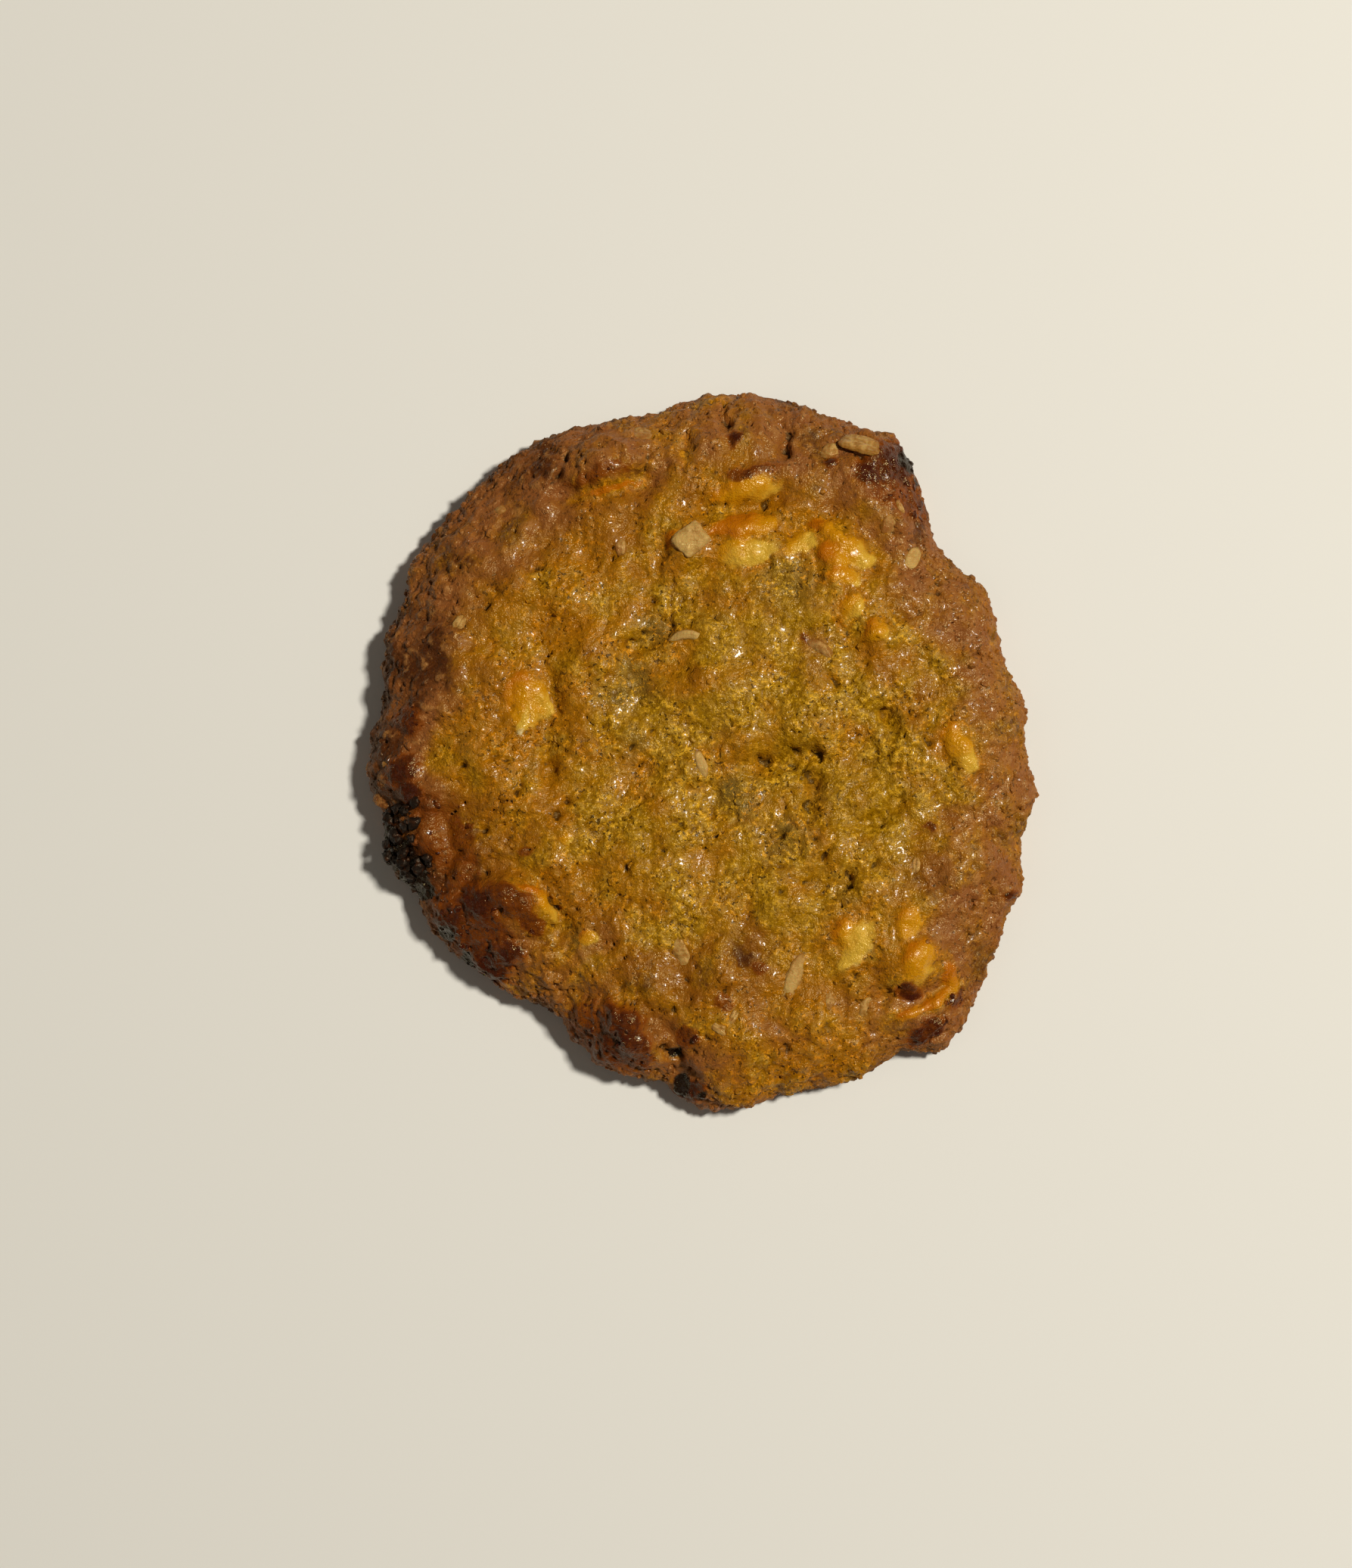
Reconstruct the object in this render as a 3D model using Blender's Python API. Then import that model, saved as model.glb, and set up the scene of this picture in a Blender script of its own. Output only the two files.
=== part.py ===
"""An oat cookie with white chocolate, baked as one piece, about 90 mm across.

The dough is a low, uneven dome on a flat base. Its outline, mounds, furrows and
hollows are named below in millimetres. Chocolate pieces, oat flakes, dark fruit
and scorched crumbs lie half sunk in the crust, and one union fuses them with it.
The cookie lies in the XY plane with the middle of its base at the origin.
"""
import math
import random

import bmesh
import bpy
from mathutils import Matrix, Vector, noise

MM = 0.001

# The dough, in millimetres
WAIST_HEIGHT = 3.0      # where the side reaches farthest out
CROWN_MIDDLE = 10.8     # height of the top at the middle
CROWN_RIM = 9.4         # and where the shoulder starts
SHOULDER_START = 0.76   # as a share of the radius
SHOULDER_SHAPE = 2.2    # 2 is an ellipse, more is squarer
FOOT_INSET = 2.4        # how much smaller the base is than the waist
FOOT_RINGS = 3
CELLS = 42              # grid cells across the top, about 2 mm each
TOP_SHARE = 0.71        # share of the cells that lie inside the shoulder

# Unevenness of the dough: wavelength and height
SWELLS = ((13.0, 0.9), (6.0, 0.8), (4.2, 0.4))
RAGGED_WAVE = 5.0
RAGGED_DEPTH = 0.55
RAGGED_SEED = 11        # keeps the ragged side the same each time

# The edge as seen from above: degrees from +X, and the distance from the middle
OUTLINE = (
    (0, 44.3), (8, 43.9), (18, 42.8), (30, 43.7), (37, 42.1), (45, 43.8), (52, 47.3),
    (58, 49.6), (66, 48.6), (80, 48.7), (90, 47.8), (98, 46.3), (108, 46.6), (120, 47.2),
    (134, 46.5), (145, 46.3), (156, 44.6), (161, 44.9), (170, 42.9), (178, 44.0), (185, 45.0),
    (191, 43.3), (200, 44.8), (206, 42.5), (214, 43.0), (224, 42.0), (235, 40.6), (242, 40.2),
    (248, 42.4), (254, 44.5), (262, 44.6), (270, 47.8), (276, 48.5), (283, 47.2), (295, 48.9),
    (303, 48.8), (310, 51.4), (320, 49.1), (330, 46.9), (337, 46.7), (344, 45.0), (352, 45.8),
)

# Rounded rises of the crust: x, y, radius, height
MOUNDS = (
    (23.7, 14.7, 3.4, 0.9), (1.5, 8.0, 5.0, 0.9), (-14.0, 12.0, 4.5, 0.7),
    (9.0, -6.5, 5.0, 0.8), (-26.5, -4.5, 3.6, 0.9), (18.5, 23.0, 3.2, 0.6),
    (21.0, 6.8, 3.6, 0.7), (14.0, 5.5, 4.0, 0.6), (26.0, 30.5, 3.5, 0.7),
    (35.0, 21.0, 3.6, 0.6), (-27.5, 6.5, 5.0, 1.2), (-13.0, 37.0, 7.0, 1.5),
    (4.0, 40.5, 5.5, 1.0), (-1.0, 28.0, 3.4, 0.9), (7.0, 28.5, 4.0, 0.6),
    (-24.0, -20.5, 5.0, 1.3), (-10.5, -38.0, 6.0, 1.4), (28.5, -27.5, 5.0, 1.1),
    (34.5, -1.0, 4.0, 0.9), (21.5, -25.0, 4.0, 0.7), (33.0, -15.0, 5.0, 0.6),
    (-19.0, 21.0, 5.0, 0.6), (-35.0, 8.0, 4.0, 0.7), (6.0, -41.0, 5.0, 0.7),
    (-8.0, -17.0, 5.5, 0.6), (-30.0, 25.0, 4.5, 0.6), (15.0, -39.0, 5.0, 0.5),
    (24.5, 40.0, 4.5, 0.8), (41.0, -4.0, 4.0, 0.6), (-38.5, -6.5, 3.5, 0.9),
)

# Furrows and cracks: half width, depth, and the points that each passes
FURROWS = (
    (1.3, 1.6, ((5.0, -2.5), (8.5, -2.3), (12.0, -2.5), (14.5, -1.0))),
    (1.1, 1.3, ((15.3, -4.5), (15.0, -8.0), (14.7, -9.8))),
    (3.4, 0.9, ((1.0, -8.0), (5.0, -6.0), (9.5, -3.5))),
    (1.1, 1.2, ((22.8, -10.3), (25.0, -9.5), (26.2, -7.4))),
    (1.2, 1.2, ((-9.0, 12.8), (-7.0, 13.7), (-4.5, 15.6))),
    (1.0, 0.9, ((-20.0, -0.5), (-20.2, -4.0))),
    (1.0, 0.9, ((18.0, -20.0), (20.2, -16.8))),
    (1.8, 0.9, ((12.5, 29.0), (17.0, 31.5), (20.5, 30.5), (25.0, 26.5))),
    (1.2, 1.3, ((3.6, 46.5), (3.4, 43.0))),
    (1.1, 1.0, ((11.0, 43.0), (11.2, 39.5))),
    (1.1, 0.9, ((-2.0, 41.0), (-2.0, 38.5))),
    (1.5, 1.2, ((-38.8, 22.5), (-36.5, 25.5), (-35.0, 29.3), (-32.0, 32.0), (-29.0, 34.2))),
    (1.5, 1.3, ((-19.0, 33.5), (-13.0, 33.4), (-6.5, 35.4))),
    (1.6, 1.0, ((0.5, 31.8), (5.5, 31.3), (10.5, 33.5))),
    (1.2, 1.0, ((-20.2, 9.2), (-19.2, 6.0), (-20.8, 2.0))),
    (1.7, 1.1, ((-29.5, -15.8), (-24.0, -16.2), (-19.0, -19.5), (-18.3, -24.0))),
    (1.6, 1.0, ((-19.0, -34.0), (-14.0, -33.0), (-8.0, -33.5), (-4.0, -38.0))),
    (1.4, 1.0, ((25.0, -33.0), (28.5, -33.6), (32.5, -31.5))),
    (1.3, 0.9, ((-34.5, -9.0), (-33.0, -14.0), (-35.0, -19.0))),
)

# Round hollows: x, y, radius, depth
HOLLOWS = (
    (-2.2, -44.6, 2.2, 3.2), (-3.3, -41.0, 1.6, 1.4), (24.7, 4.0, 1.2, 1.2),
    (-5.0, 26.3, 1.6, 1.2), (28.0, 38.5, 2.2, 1.2), (-9.5, 8.0, 3.5, 0.6),
    (12.5, 22.0, 3.5, 0.5), (-40.5, -14.5, 2.4, 1.0), (-31.0, -27.5, 2.6, 0.9),
    (36.5, -33.0, 2.2, 0.9), (-33.5, 0.0, 2.8, 0.5), (17.5, -19.5, 3.4, 0.5),
)

# White chocolate: x, y, length, width, height, turn in degrees, share that stands proud
CHOCOLATE = (
    (-12.5, 36.0, 12.0, 5.4, 4.0, 12, 0.22), (5.6, 34.2, 9.6, 4.2, 3.4, 7, 0.20),
    (6.6, 27.0, 8.6, 4.8, 3.2, 15, 0.18), (18.8, 27.0, 9.6, 5.4, 3.6, -22, 0.20),
    (-22.6, 6.0, 8.8, 4.8, 3.8, 98, 0.20), (-23.6, -21.0, 8.4, 6.2, 4.2, -24, 0.22),
    (21.3, -25.6, 7.6, 4.6, 3.4, 62, 0.20), (28.5, -28.0, 8.0, 5.2, 4.2, 80, 0.26),
    (34.5, -0.6, 8.2, 3.4, 3.2, -65, 0.24), (32.2, -32.8, 5.4, 2.6, 2.4, 42, 0.28),
    (-1.4, 15.0, 4.8, 2.4, 2.0, 10, 0.28), (-33.0, -0.3, 5.6, 4.6, 2.2, 100, 0.20),
)

# Oat flakes that show best: x, y, length, width, turn in degrees
FLAKES = (
    (21.3, 40.8, 5.2, 2.9, -15), (17.5, 40.2, 3.0, 2.0, 20), (28.5, 25.3, 3.4, 2.6, 70),
    (26.8, 32.0, 3.0, 2.0, 40), (-7.2, 42.0, 4.4, 2.5, -15), (-32.0, 28.5, 4.4, 2.4, -10),
    (-22.5, 28.5, 3.2, 2.4, 30), (-32.0, 16.5, 3.0, 2.2, 60), (-1.0, 28.0, 5.2, 4.0, 55),
    (0.7, -3.0, 5.2, 2.0, -75), (-2.7, -26.5, 6.0, 2.6, -65), (12.2, -31.0, 7.2, 2.8, 70),
    (17.2, -33.2, 3.4, 1.8, 85), (3.5, -36.5, 5.4, 3.4, 10), (1.0, -33.0, 3.0, 2.2, -20),
    (28.5, -16.0, 3.4, 1.8, 85), (34.5, -26.0, 4.4, 3.0, 20), (-38.0, -10.5, 3.0, 2.2, 10),
)

# Dark glossy fruit: x, y, length, width, height, turn in degrees
FRUIT = (
    (-11.0, -38.5, 12.0, 6.4, 5.0, -45), (22.7, 36.8, 4.6, 3.4, 3.0, 20),
    (4.7, 41.3, 3.0, 2.6, 2.2, 60), (15.7, 13.2, 3.8, 2.4, 2.2, 5),
    (-38.6, 2.6, 4.6, 3.6, 3.2, 70), (-39.2, -4.4, 5.0, 3.8, 3.4, 80),
    (-29.5, -20.5, 4.2, 3.0, 2.6, -30), (-25.4, -27.0, 5.0, 3.2, 2.8, -20),
    (30.4, -37.2, 4.0, 3.0, 2.6, 30), (35.0, -33.4, 3.6, 2.8, 2.6, 50),
    (-1.3, -45.8, 3.0, 2.2, 2.4, 10), (29.4, 36.2, 2.6, 2.0, 2.2, 80),
)

# Scorched crumbs along the left edge: degrees from +X, from and to, and how many
SCORCHED_ARCS = ((189, 205, 9), (213, 226, 7))
SCORCHED_SIZE = (1.8, 3.0)
SCORCHED_SEED = 11

# Plain crumbs and small flakes over the rest of the crust
CRUMB_COUNT = 26
CRUMB_SIZE = (1.9, 3.1)
CRUMB_SPACING = 7.0
CRUMB_SEED = 5

CRUST_COLOUR = (0.28, 0.12, 0.02, 1.0)
CRUST_ROUGHNESS = 0.55


def clear_scene():
    """Take the default objects away."""
    for thing in list(bpy.data.objects):
        bpy.data.objects.remove(thing, do_unlink=True)


def outline_radius(angle):
    """Distance from the middle to the edge, by a smooth curve through OUTLINE."""
    turn = math.degrees(angle) % 360.0
    count = len(OUTLINE)
    after = next((i for i, point in enumerate(OUTLINE) if point[0] > turn), 0)
    around = []
    for step in (-2, -1, 0, 1):
        index = after + step
        degrees, radius = OUTLINE[index % count]
        around.append((degrees + 360.0 * math.floor(index / count), radius))
    if after == 0:
        turn -= 360.0
    (a0, r0), (a1, r1), (a2, r2), (a3, r3) = around
    span = a2 - a1
    t = (turn - a1) / span
    slope_1 = (r2 - r0) / (a2 - a0) * span
    slope_2 = (r3 - r1) / (a3 - a1) * span
    return (
        r1 * (2 * t**3 - 3 * t**2 + 1)
        + slope_1 * (t**3 - 2 * t**2 + t)
        + r2 * (3 * t**2 - 2 * t**3)
        + slope_2 * (t**3 - t**2)
    )


def distance_to_path(x, y, path):
    """Distance from a point to a line through several points."""
    best = math.inf
    for (ax, ay), (bx, by) in zip(path, path[1:]):
        along_x, along_y = bx - ax, by - ay
        share = ((x - ax) * along_x + (y - ay) * along_y) / (along_x**2 + along_y**2)
        share = min(max(share, 0.0), 1.0)
        best = min(best, math.hypot(x - ax - share * along_x, y - ay - share * along_y))
    return best


def bell(distance, width):
    """1 at the middle, falling smoothly to nearly 0 at twice the width."""
    return math.exp(-((distance / width) ** 2))


def relief(x, y):
    """Height of the crust above the plain dome."""
    height = 0.0
    for wave, swell in SWELLS:
        height += swell * noise.noise(Vector((x / wave, y / wave, wave)))
    for mound_x, mound_y, radius, rise in MOUNDS:
        height += rise * bell(math.hypot(x - mound_x, y - mound_y), radius)
    for width, depth, path in FURROWS:
        height -= depth * bell(distance_to_path(x, y, path), width)
    for hollow_x, hollow_y, radius, depth in HOLLOWS:
        height -= depth * bell(math.hypot(x - hollow_x, y - hollow_y), radius)
    return height


def crust_height(x, y):
    """Height of the top above the base at a place on the cookie."""
    share = min(math.hypot(x, y) / outline_radius(math.atan2(y, x)), 1.0)
    crown = CROWN_RIM + (CROWN_MIDDLE - CROWN_RIM) * (1.0 - share**2)
    over = max(0.0, share - SHOULDER_START) / (1.0 - SHOULDER_START)
    shoulder = max(0.0, 1.0 - over**SHOULDER_SHAPE) ** (1.0 / SHOULDER_SHAPE)
    return WAIST_HEIGHT + (crown + relief(x, y) - WAIST_HEIGHT) * shoulder


def crust_normal(x, y, step=0.8):
    """Direction straight out of the crust at a place on the cookie."""
    slope_x = (crust_height(x + step, y) - crust_height(x - step, y)) / (2 * step)
    slope_y = (crust_height(x, y + step) - crust_height(x, y - step)) / (2 * step)
    return Vector((-slope_x, -slope_y, 1.0)).normalized()


def ragged(point):
    """Uneven push that roughens the side and leaves the base flat."""
    push = noise.noise_vector(point / RAGGED_WAVE) * RAGGED_DEPTH
    push.z *= min(1.0, point.z / WAIST_HEIGHT)
    return push


def place_on_dough(square_x, square_y):
    """Carry a point of a square grid, -1 to 1, to the top of the dough."""
    round_x = square_x * math.sqrt(1.0 - square_y**2 / 2.0)
    round_y = square_y * math.sqrt(1.0 - square_x**2 / 2.0)
    reach = min(math.hypot(round_x, round_y), 1.0)
    angle = math.atan2(round_y, round_x)
    if reach <= TOP_SHARE:
        share = reach / TOP_SHARE * SHOULDER_START
        over = 0.0
    else:
        sweep = (reach - TOP_SHARE) / (1.0 - TOP_SHARE) * math.pi / 2.0
        over = math.sin(sweep) ** (2.0 / SHOULDER_SHAPE)
        share = SHOULDER_START + (1.0 - SHOULDER_START) * over
    radius = outline_radius(angle) * share
    x, y = radius * math.cos(angle), radius * math.sin(angle)
    point = Vector((x, y, crust_height(x, y)))
    return point + ragged(point) * over


def make_dough():
    """The plain dough: a domed top, a rounded side and a flat base."""
    shape = bmesh.new()
    bmesh.ops.create_grid(shape, x_segments=CELLS, y_segments=CELLS, size=1.0)
    for vertex in shape.verts:
        vertex.co = place_on_dough(vertex.co.x, vertex.co.y)
    edge = [e for e in shape.edges if e.is_boundary]
    for ring in range(1, FOOT_RINGS + 1):
        grown = bmesh.ops.extrude_edge_only(shape, edges=edge)["geom"]
        sweep = ring / FOOT_RINGS * math.pi / 2.0
        for vertex in (v for v in grown if isinstance(v, bmesh.types.BMVert)):
            angle = math.atan2(vertex.co.y, vertex.co.x)
            radius = outline_radius(angle) - FOOT_INSET * (1.0 - math.cos(sweep))
            height = WAIST_HEIGHT * (1.0 - math.sin(sweep))
            point = Vector((radius * math.cos(angle), radius * math.sin(angle), height))
            vertex.co = point + ragged(point)
        edge = [e for e in grown if isinstance(e, bmesh.types.BMEdge)]
    bmesh.ops.contextual_create(shape, geom=edge)
    bmesh.ops.triangulate(shape, faces=shape.faces)
    bmesh.ops.recalc_face_normals(shape, faces=shape.faces)
    return finish_mesh(shape, "cookie")


def finish_mesh(shape, name):
    """Turn a bmesh in millimetres into a mesh in metres."""
    bmesh.ops.scale(shape, vec=(MM, MM, MM), verts=shape.verts)
    mesh = bpy.data.meshes.new(name)
    shape.to_mesh(mesh)
    shape.free()
    return mesh


def seat(x, y, turn, sink):
    """Matrix that lays a piece on the crust, turned, and sunk into it along the normal."""
    normal = crust_normal(x, y)
    spot = Vector((x, y, crust_height(x, y))) - normal * sink
    tilt = Vector((0.0, 0.0, 1.0)).rotation_difference(normal).to_matrix().to_4x4()
    return Matrix.Translation(spot) @ tilt @ Matrix.Rotation(math.radians(turn), 4, "Z")


def add_rounded(name, size, place, collection, segments=11, rings=6, knobbly=0.12):
    """A rounded lump of the given length, width and height, slightly uneven."""
    shape = bmesh.new()
    bmesh.ops.create_uvsphere(shape, u_segments=segments, v_segments=rings, radius=0.5)
    centre = place.to_translation()
    for vertex in shape.verts:
        bump = noise.noise(vertex.co * 3.0 + centre)
        vertex.co *= 1.0 + knobbly * bump
        vertex.co = place @ Vector(a * b for a, b in zip(vertex.co, size))
    lump = bpy.data.objects.new(name, finish_mesh(shape, name))
    collection.objects.link(lump)


def add_chocolate(collection):
    """Half-melted white chocolate, sunk in the dough."""
    for index, (x, y, length, width, height, turn, proud) in enumerate(CHOCOLATE):
        place = seat(x, y, turn, height * (0.5 - proud))
        add_rounded(f"chocolate_{index}", (length, width, height), place, collection)


def add_flakes(collection):
    """Rolled oats: thin ovals that lie on the crust with one side a little raised."""
    thickness = 1.3
    for index, (x, y, length, width, turn) in enumerate(FLAKES):
        tip = Matrix.Rotation(math.radians(8.0), 4, "X")
        place = seat(x, y, turn, 0.12) @ tip
        size = (length, width, thickness)
        add_rounded(f"flake_{index}", size, place, collection, 9, 4, 0.05)


def add_fruit(collection):
    """Dark glossy fruit, deep in the crust."""
    for index, (x, y, length, width, height, turn) in enumerate(FRUIT):
        place = seat(x, y, turn, height * 0.24)
        add_rounded(f"fruit_{index}", (length, width, height), place, collection, 10, 5, 0.3)


def add_scorched(collection):
    """Burnt crumbs that stick out of the shoulder where the edge is black."""
    draw = random.Random(SCORCHED_SEED)
    for start, end, count in SCORCHED_ARCS:
        for index in range(count):
            angle = math.radians(start + (end - start) * (index + draw.random()) / count)
            radius = outline_radius(angle) * draw.uniform(0.92, 0.985)
            x, y = radius * math.cos(angle), radius * math.sin(angle)
            length = draw.uniform(*SCORCHED_SIZE)
            size = (length, length * draw.uniform(0.7, 1.0), length * 0.8)
            place = seat(x, y, draw.uniform(0.0, 180.0), length * 0.12)
            add_rounded(f"scorched_{start}_{index}", size, place, collection, 6, 4, 0.4)


def add_crumbs(collection):
    """Small crumbs and broken flakes, spread evenly and clear of the larger pieces."""
    draw = random.Random(CRUMB_SEED)
    taken = [(piece[0], piece[1], piece[2] / 2) for piece in CHOCOLATE + FLAKES + FRUIT]
    made = 0
    while made < CRUMB_COUNT:
        angle = draw.uniform(0.0, 2.0 * math.pi)
        radius = outline_radius(angle) * 0.94 * math.sqrt(draw.random())
        x, y = radius * math.cos(angle), radius * math.sin(angle)
        length = draw.uniform(*CRUMB_SIZE)
        turn = draw.uniform(0.0, 180.0)
        gaps = [math.hypot(x - px, y - py) - reach for px, py, reach in taken]
        if min(gaps) < CRUMB_SPACING / 2 + length / 2:
            continue
        taken.append((x, y, CRUMB_SPACING / 2))
        place = seat(x, y, turn, 0.05)
        size = (length, length * 0.72, length * 0.55)
        add_rounded(f"crumb_{made}", size, place, collection, 6, 4, 0.25)
        made += 1


def keep_largest_shell(mesh):
    """Drop loose scraps and sealed hollows: only the biggest closed shell stays."""
    shape = bmesh.new()
    shape.from_mesh(mesh)
    left = set(shape.faces)
    shells = []
    while left:
        shell = set()
        queue = [left.pop()]
        while queue:
            face = queue.pop()
            shell.add(face)
            for edge in face.edges:
                for other in edge.link_faces:
                    if other in left:
                        left.remove(other)
                        queue.append(other)
        shells.append(shell)
    largest = max(shells, key=len)
    scraps = [face for shell in shells if shell is not largest for face in shell]
    bmesh.ops.delete(shape, geom=scraps, context="FACES")
    bmesh.ops.triangulate(shape, faces=shape.faces)
    shape.to_mesh(mesh)
    shape.free()
    return len(shells) - 1


def fuse(dough, pieces):
    """Join every piece to the dough by one union, then remove the pieces."""
    union = dough.modifiers.new("fuse", "BOOLEAN")
    union.operation = "UNION"
    union.operand_type = "COLLECTION"
    union.collection = pieces
    union.solver = "MANIFOLD"
    bpy.context.view_layer.update()
    joined = dough.evaluated_get(bpy.context.evaluated_depsgraph_get())
    mesh = bpy.data.meshes.new_from_object(joined)
    mesh.name = dough.name
    dough.modifiers.clear()
    dough.data = mesh
    for piece in list(pieces.objects):
        bpy.data.objects.remove(piece, do_unlink=True)
    bpy.data.collections.remove(pieces)
    return keep_largest_shell(mesh)


def stand_on_origin(mesh):
    """Move the mesh so that the middle of its box's base is the origin."""
    corners = [[f(v.co[axis] for v in mesh.vertices) for f in (min, max)] for axis in range(3)]
    middle = Vector((sum(corners[0]) / 2, sum(corners[1]) / 2, corners[2][0]))
    mesh.transform(Matrix.Translation(-middle))
    return middle / MM


def crust_material():
    """Golden brown crust, half glossy with butter and sugar."""
    material = bpy.data.materials.new("baked_crust")
    material.use_nodes = True
    shader = material.node_tree.nodes["Principled BSDF"]
    shader.inputs["Base Color"].default_value = CRUST_COLOUR
    shader.inputs["Roughness"].default_value = CRUST_ROUGHNESS
    shader.inputs["Metallic"].default_value = 0.0
    material.diffuse_color = CRUST_COLOUR
    return material


def build():
    clear_scene()
    noise.seed_set(RAGGED_SEED)
    cookie = bpy.data.collections.new("white_chocolate_cookie")
    toppings = bpy.data.collections.new("toppings")
    bpy.context.scene.collection.children.link(cookie)
    bpy.context.scene.collection.children.link(toppings)
    dough = bpy.data.objects.new("cookie", make_dough())
    cookie.objects.link(dough)
    add_chocolate(toppings)
    add_flakes(toppings)
    add_fruit(toppings)
    add_scorched(toppings)
    add_crumbs(toppings)
    scraps = fuse(dough, toppings)
    moved = stand_on_origin(dough.data)
    dough.data.materials.clear()
    dough.data.materials.append(crust_material())
    dough.data.shade_smooth()
    dough.data.set_sharp_from_angle(angle=math.radians(50.0))
    print("triangles", len(dough.data.polygons), "scraps dropped", scraps)
    print("size mm", [round(side / MM, 2) for side in dough.dimensions], "moved mm", moved)


build()
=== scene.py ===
# %% [markdown]
# # A white chocolate cookie
#
# The real thing is one drop of oat dough that spread in the oven. It has a low
# dome, a browned ragged edge, pale half-melted white chocolate, rolled oats and
# some dark sticky fruit. Everything on it is uneven, so this lesson builds the
# shape from a few named places and several sizes of noise.
#
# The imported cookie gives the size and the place. This script puts a finer crust
# over it, in the same millimetres, and then finishes each surface.

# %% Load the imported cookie
import math

import bmesh
import bpy
import numpy as np
from mathutils import Matrix, Vector, noise


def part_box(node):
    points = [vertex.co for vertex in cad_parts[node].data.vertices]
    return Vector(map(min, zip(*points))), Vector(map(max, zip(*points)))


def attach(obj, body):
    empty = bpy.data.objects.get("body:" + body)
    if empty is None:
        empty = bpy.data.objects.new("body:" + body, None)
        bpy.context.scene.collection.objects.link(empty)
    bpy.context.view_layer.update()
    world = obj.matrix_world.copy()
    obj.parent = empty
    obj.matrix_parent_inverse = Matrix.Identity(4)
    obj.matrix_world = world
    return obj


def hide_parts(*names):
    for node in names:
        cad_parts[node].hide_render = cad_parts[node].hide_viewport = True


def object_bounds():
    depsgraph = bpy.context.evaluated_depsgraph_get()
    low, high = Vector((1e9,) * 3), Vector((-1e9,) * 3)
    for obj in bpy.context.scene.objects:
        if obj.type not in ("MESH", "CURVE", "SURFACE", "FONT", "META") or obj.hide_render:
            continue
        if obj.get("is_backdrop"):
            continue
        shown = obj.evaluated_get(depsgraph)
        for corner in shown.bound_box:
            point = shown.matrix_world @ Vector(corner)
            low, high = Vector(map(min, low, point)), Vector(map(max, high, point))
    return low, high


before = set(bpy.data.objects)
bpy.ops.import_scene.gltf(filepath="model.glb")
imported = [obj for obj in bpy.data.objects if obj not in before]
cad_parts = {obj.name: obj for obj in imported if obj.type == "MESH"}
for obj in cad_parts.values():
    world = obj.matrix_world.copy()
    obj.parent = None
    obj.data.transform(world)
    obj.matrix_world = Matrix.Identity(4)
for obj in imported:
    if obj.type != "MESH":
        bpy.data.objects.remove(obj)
CAD_BOX = [list(corner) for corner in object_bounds()]
MM = 0.001
LOW, HIGH = (np.array(corner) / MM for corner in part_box("cookie"))
print("packed cookie, mm:", np.round(HIGH - LOW, 1))

# %% [markdown]
# ## The edge
#
# A hand-dropped cookie is not round. Its edge is easiest to hold as a distance
# from the middle for each direction. A smooth curve through a few such distances
# gives every lobe and dent, and noise adds the crumbly fraying later.

# %% The edge as a distance for each direction
OUTLINE = np.array([
    (0, 44.3), (8, 43.9), (18, 42.8), (30, 43.7), (37, 42.1), (45, 43.8), (52, 47.3),
    (58, 49.6), (66, 48.6), (80, 48.7), (90, 47.8), (98, 46.3), (108, 46.6), (120, 47.2),
    (134, 46.5), (145, 46.3), (156, 44.6), (161, 44.9), (170, 42.9), (178, 44.0), (185, 45.0),
    (191, 43.3), (200, 44.8), (206, 42.5), (214, 43.0), (224, 42.0), (235, 40.6), (242, 40.2),
    (248, 42.4), (254, 44.5), (262, 44.6), (270, 47.8), (276, 48.5), (283, 47.2), (295, 48.9),
    (303, 48.8), (310, 51.4), (320, 49.1), (330, 46.9), (337, 46.7), (344, 45.0), (352, 45.8),
])
AROUND = np.vstack((OUTLINE[-2:] - (360, 0), OUTLINE, OUTLINE[:2] + (360, 0)))


def edge_distance(angle):
    """Distance from the middle to the edge, in mm, for an array of angles."""
    turn = np.degrees(angle) % 360.0
    after = np.searchsorted(AROUND[:, 0], turn, side="right")
    (a0, r0), (a1, r1), (a2, r2), (a3, r3) = (AROUND[after + k].T for k in (-2, -1, 0, 1))
    t = (turn - a1) / (a2 - a1)
    slope_1 = (r2 - r0) / (a2 - a0) * (a2 - a1)
    slope_2 = (r3 - r1) / (a3 - a1) * (a2 - a1)
    near = r1 * (2 * t**3 - 3 * t**2 + 1) + slope_1 * (t**3 - 2 * t**2 + t)
    return near + r2 * (3 * t**2 - 2 * t**3) + slope_2 * (t**3 - t**2)


print("widest", edge_distance(np.radians([310.0])), "narrowest", edge_distance(np.radians([242.0])))

# %% [markdown]
# ## The lie of the crust
#
# The crust is a height over each place. A plain dome comes first: nearly flat in
# the middle, with a rounded shoulder that falls to the waist of the side. Named
# mounds, furrows and hollows lie on it, where chocolate pushed the dough up or
# where it cracked as it spread. Each is a bell curve, which blends with its
# neighbours without a seam. A mound is a place, a radius and a height, and a
# hollow is the same with a depth. A furrow is a width, a depth and the points that
# it passes.
#
# The side is frayed by a noise that has a direction.
# Blender seeds that one noise from the clock, so a seed of its own is set here,
# and the cookie comes out the same in every run.

# %% Sizes of the dome, and its mounds, furrows and hollows
WAIST_HEIGHT = 3.0
CROWN_MIDDLE = 10.8
CROWN_RIM = 9.4
SHOULDER_START = 0.76
SHOULDER_SHAPE = 2.2
FOOT_INSET = 2.4
TOP_SHARE = 0.71
SWELLS = ((13.0, 0.9), (6.0, 0.8), (4.2, 0.4))
RAGGED_WAVE = 5.0
RAGGED_DEPTH = 0.55
RAGGED_SEED = 11
noise.seed_set(RAGGED_SEED)

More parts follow.
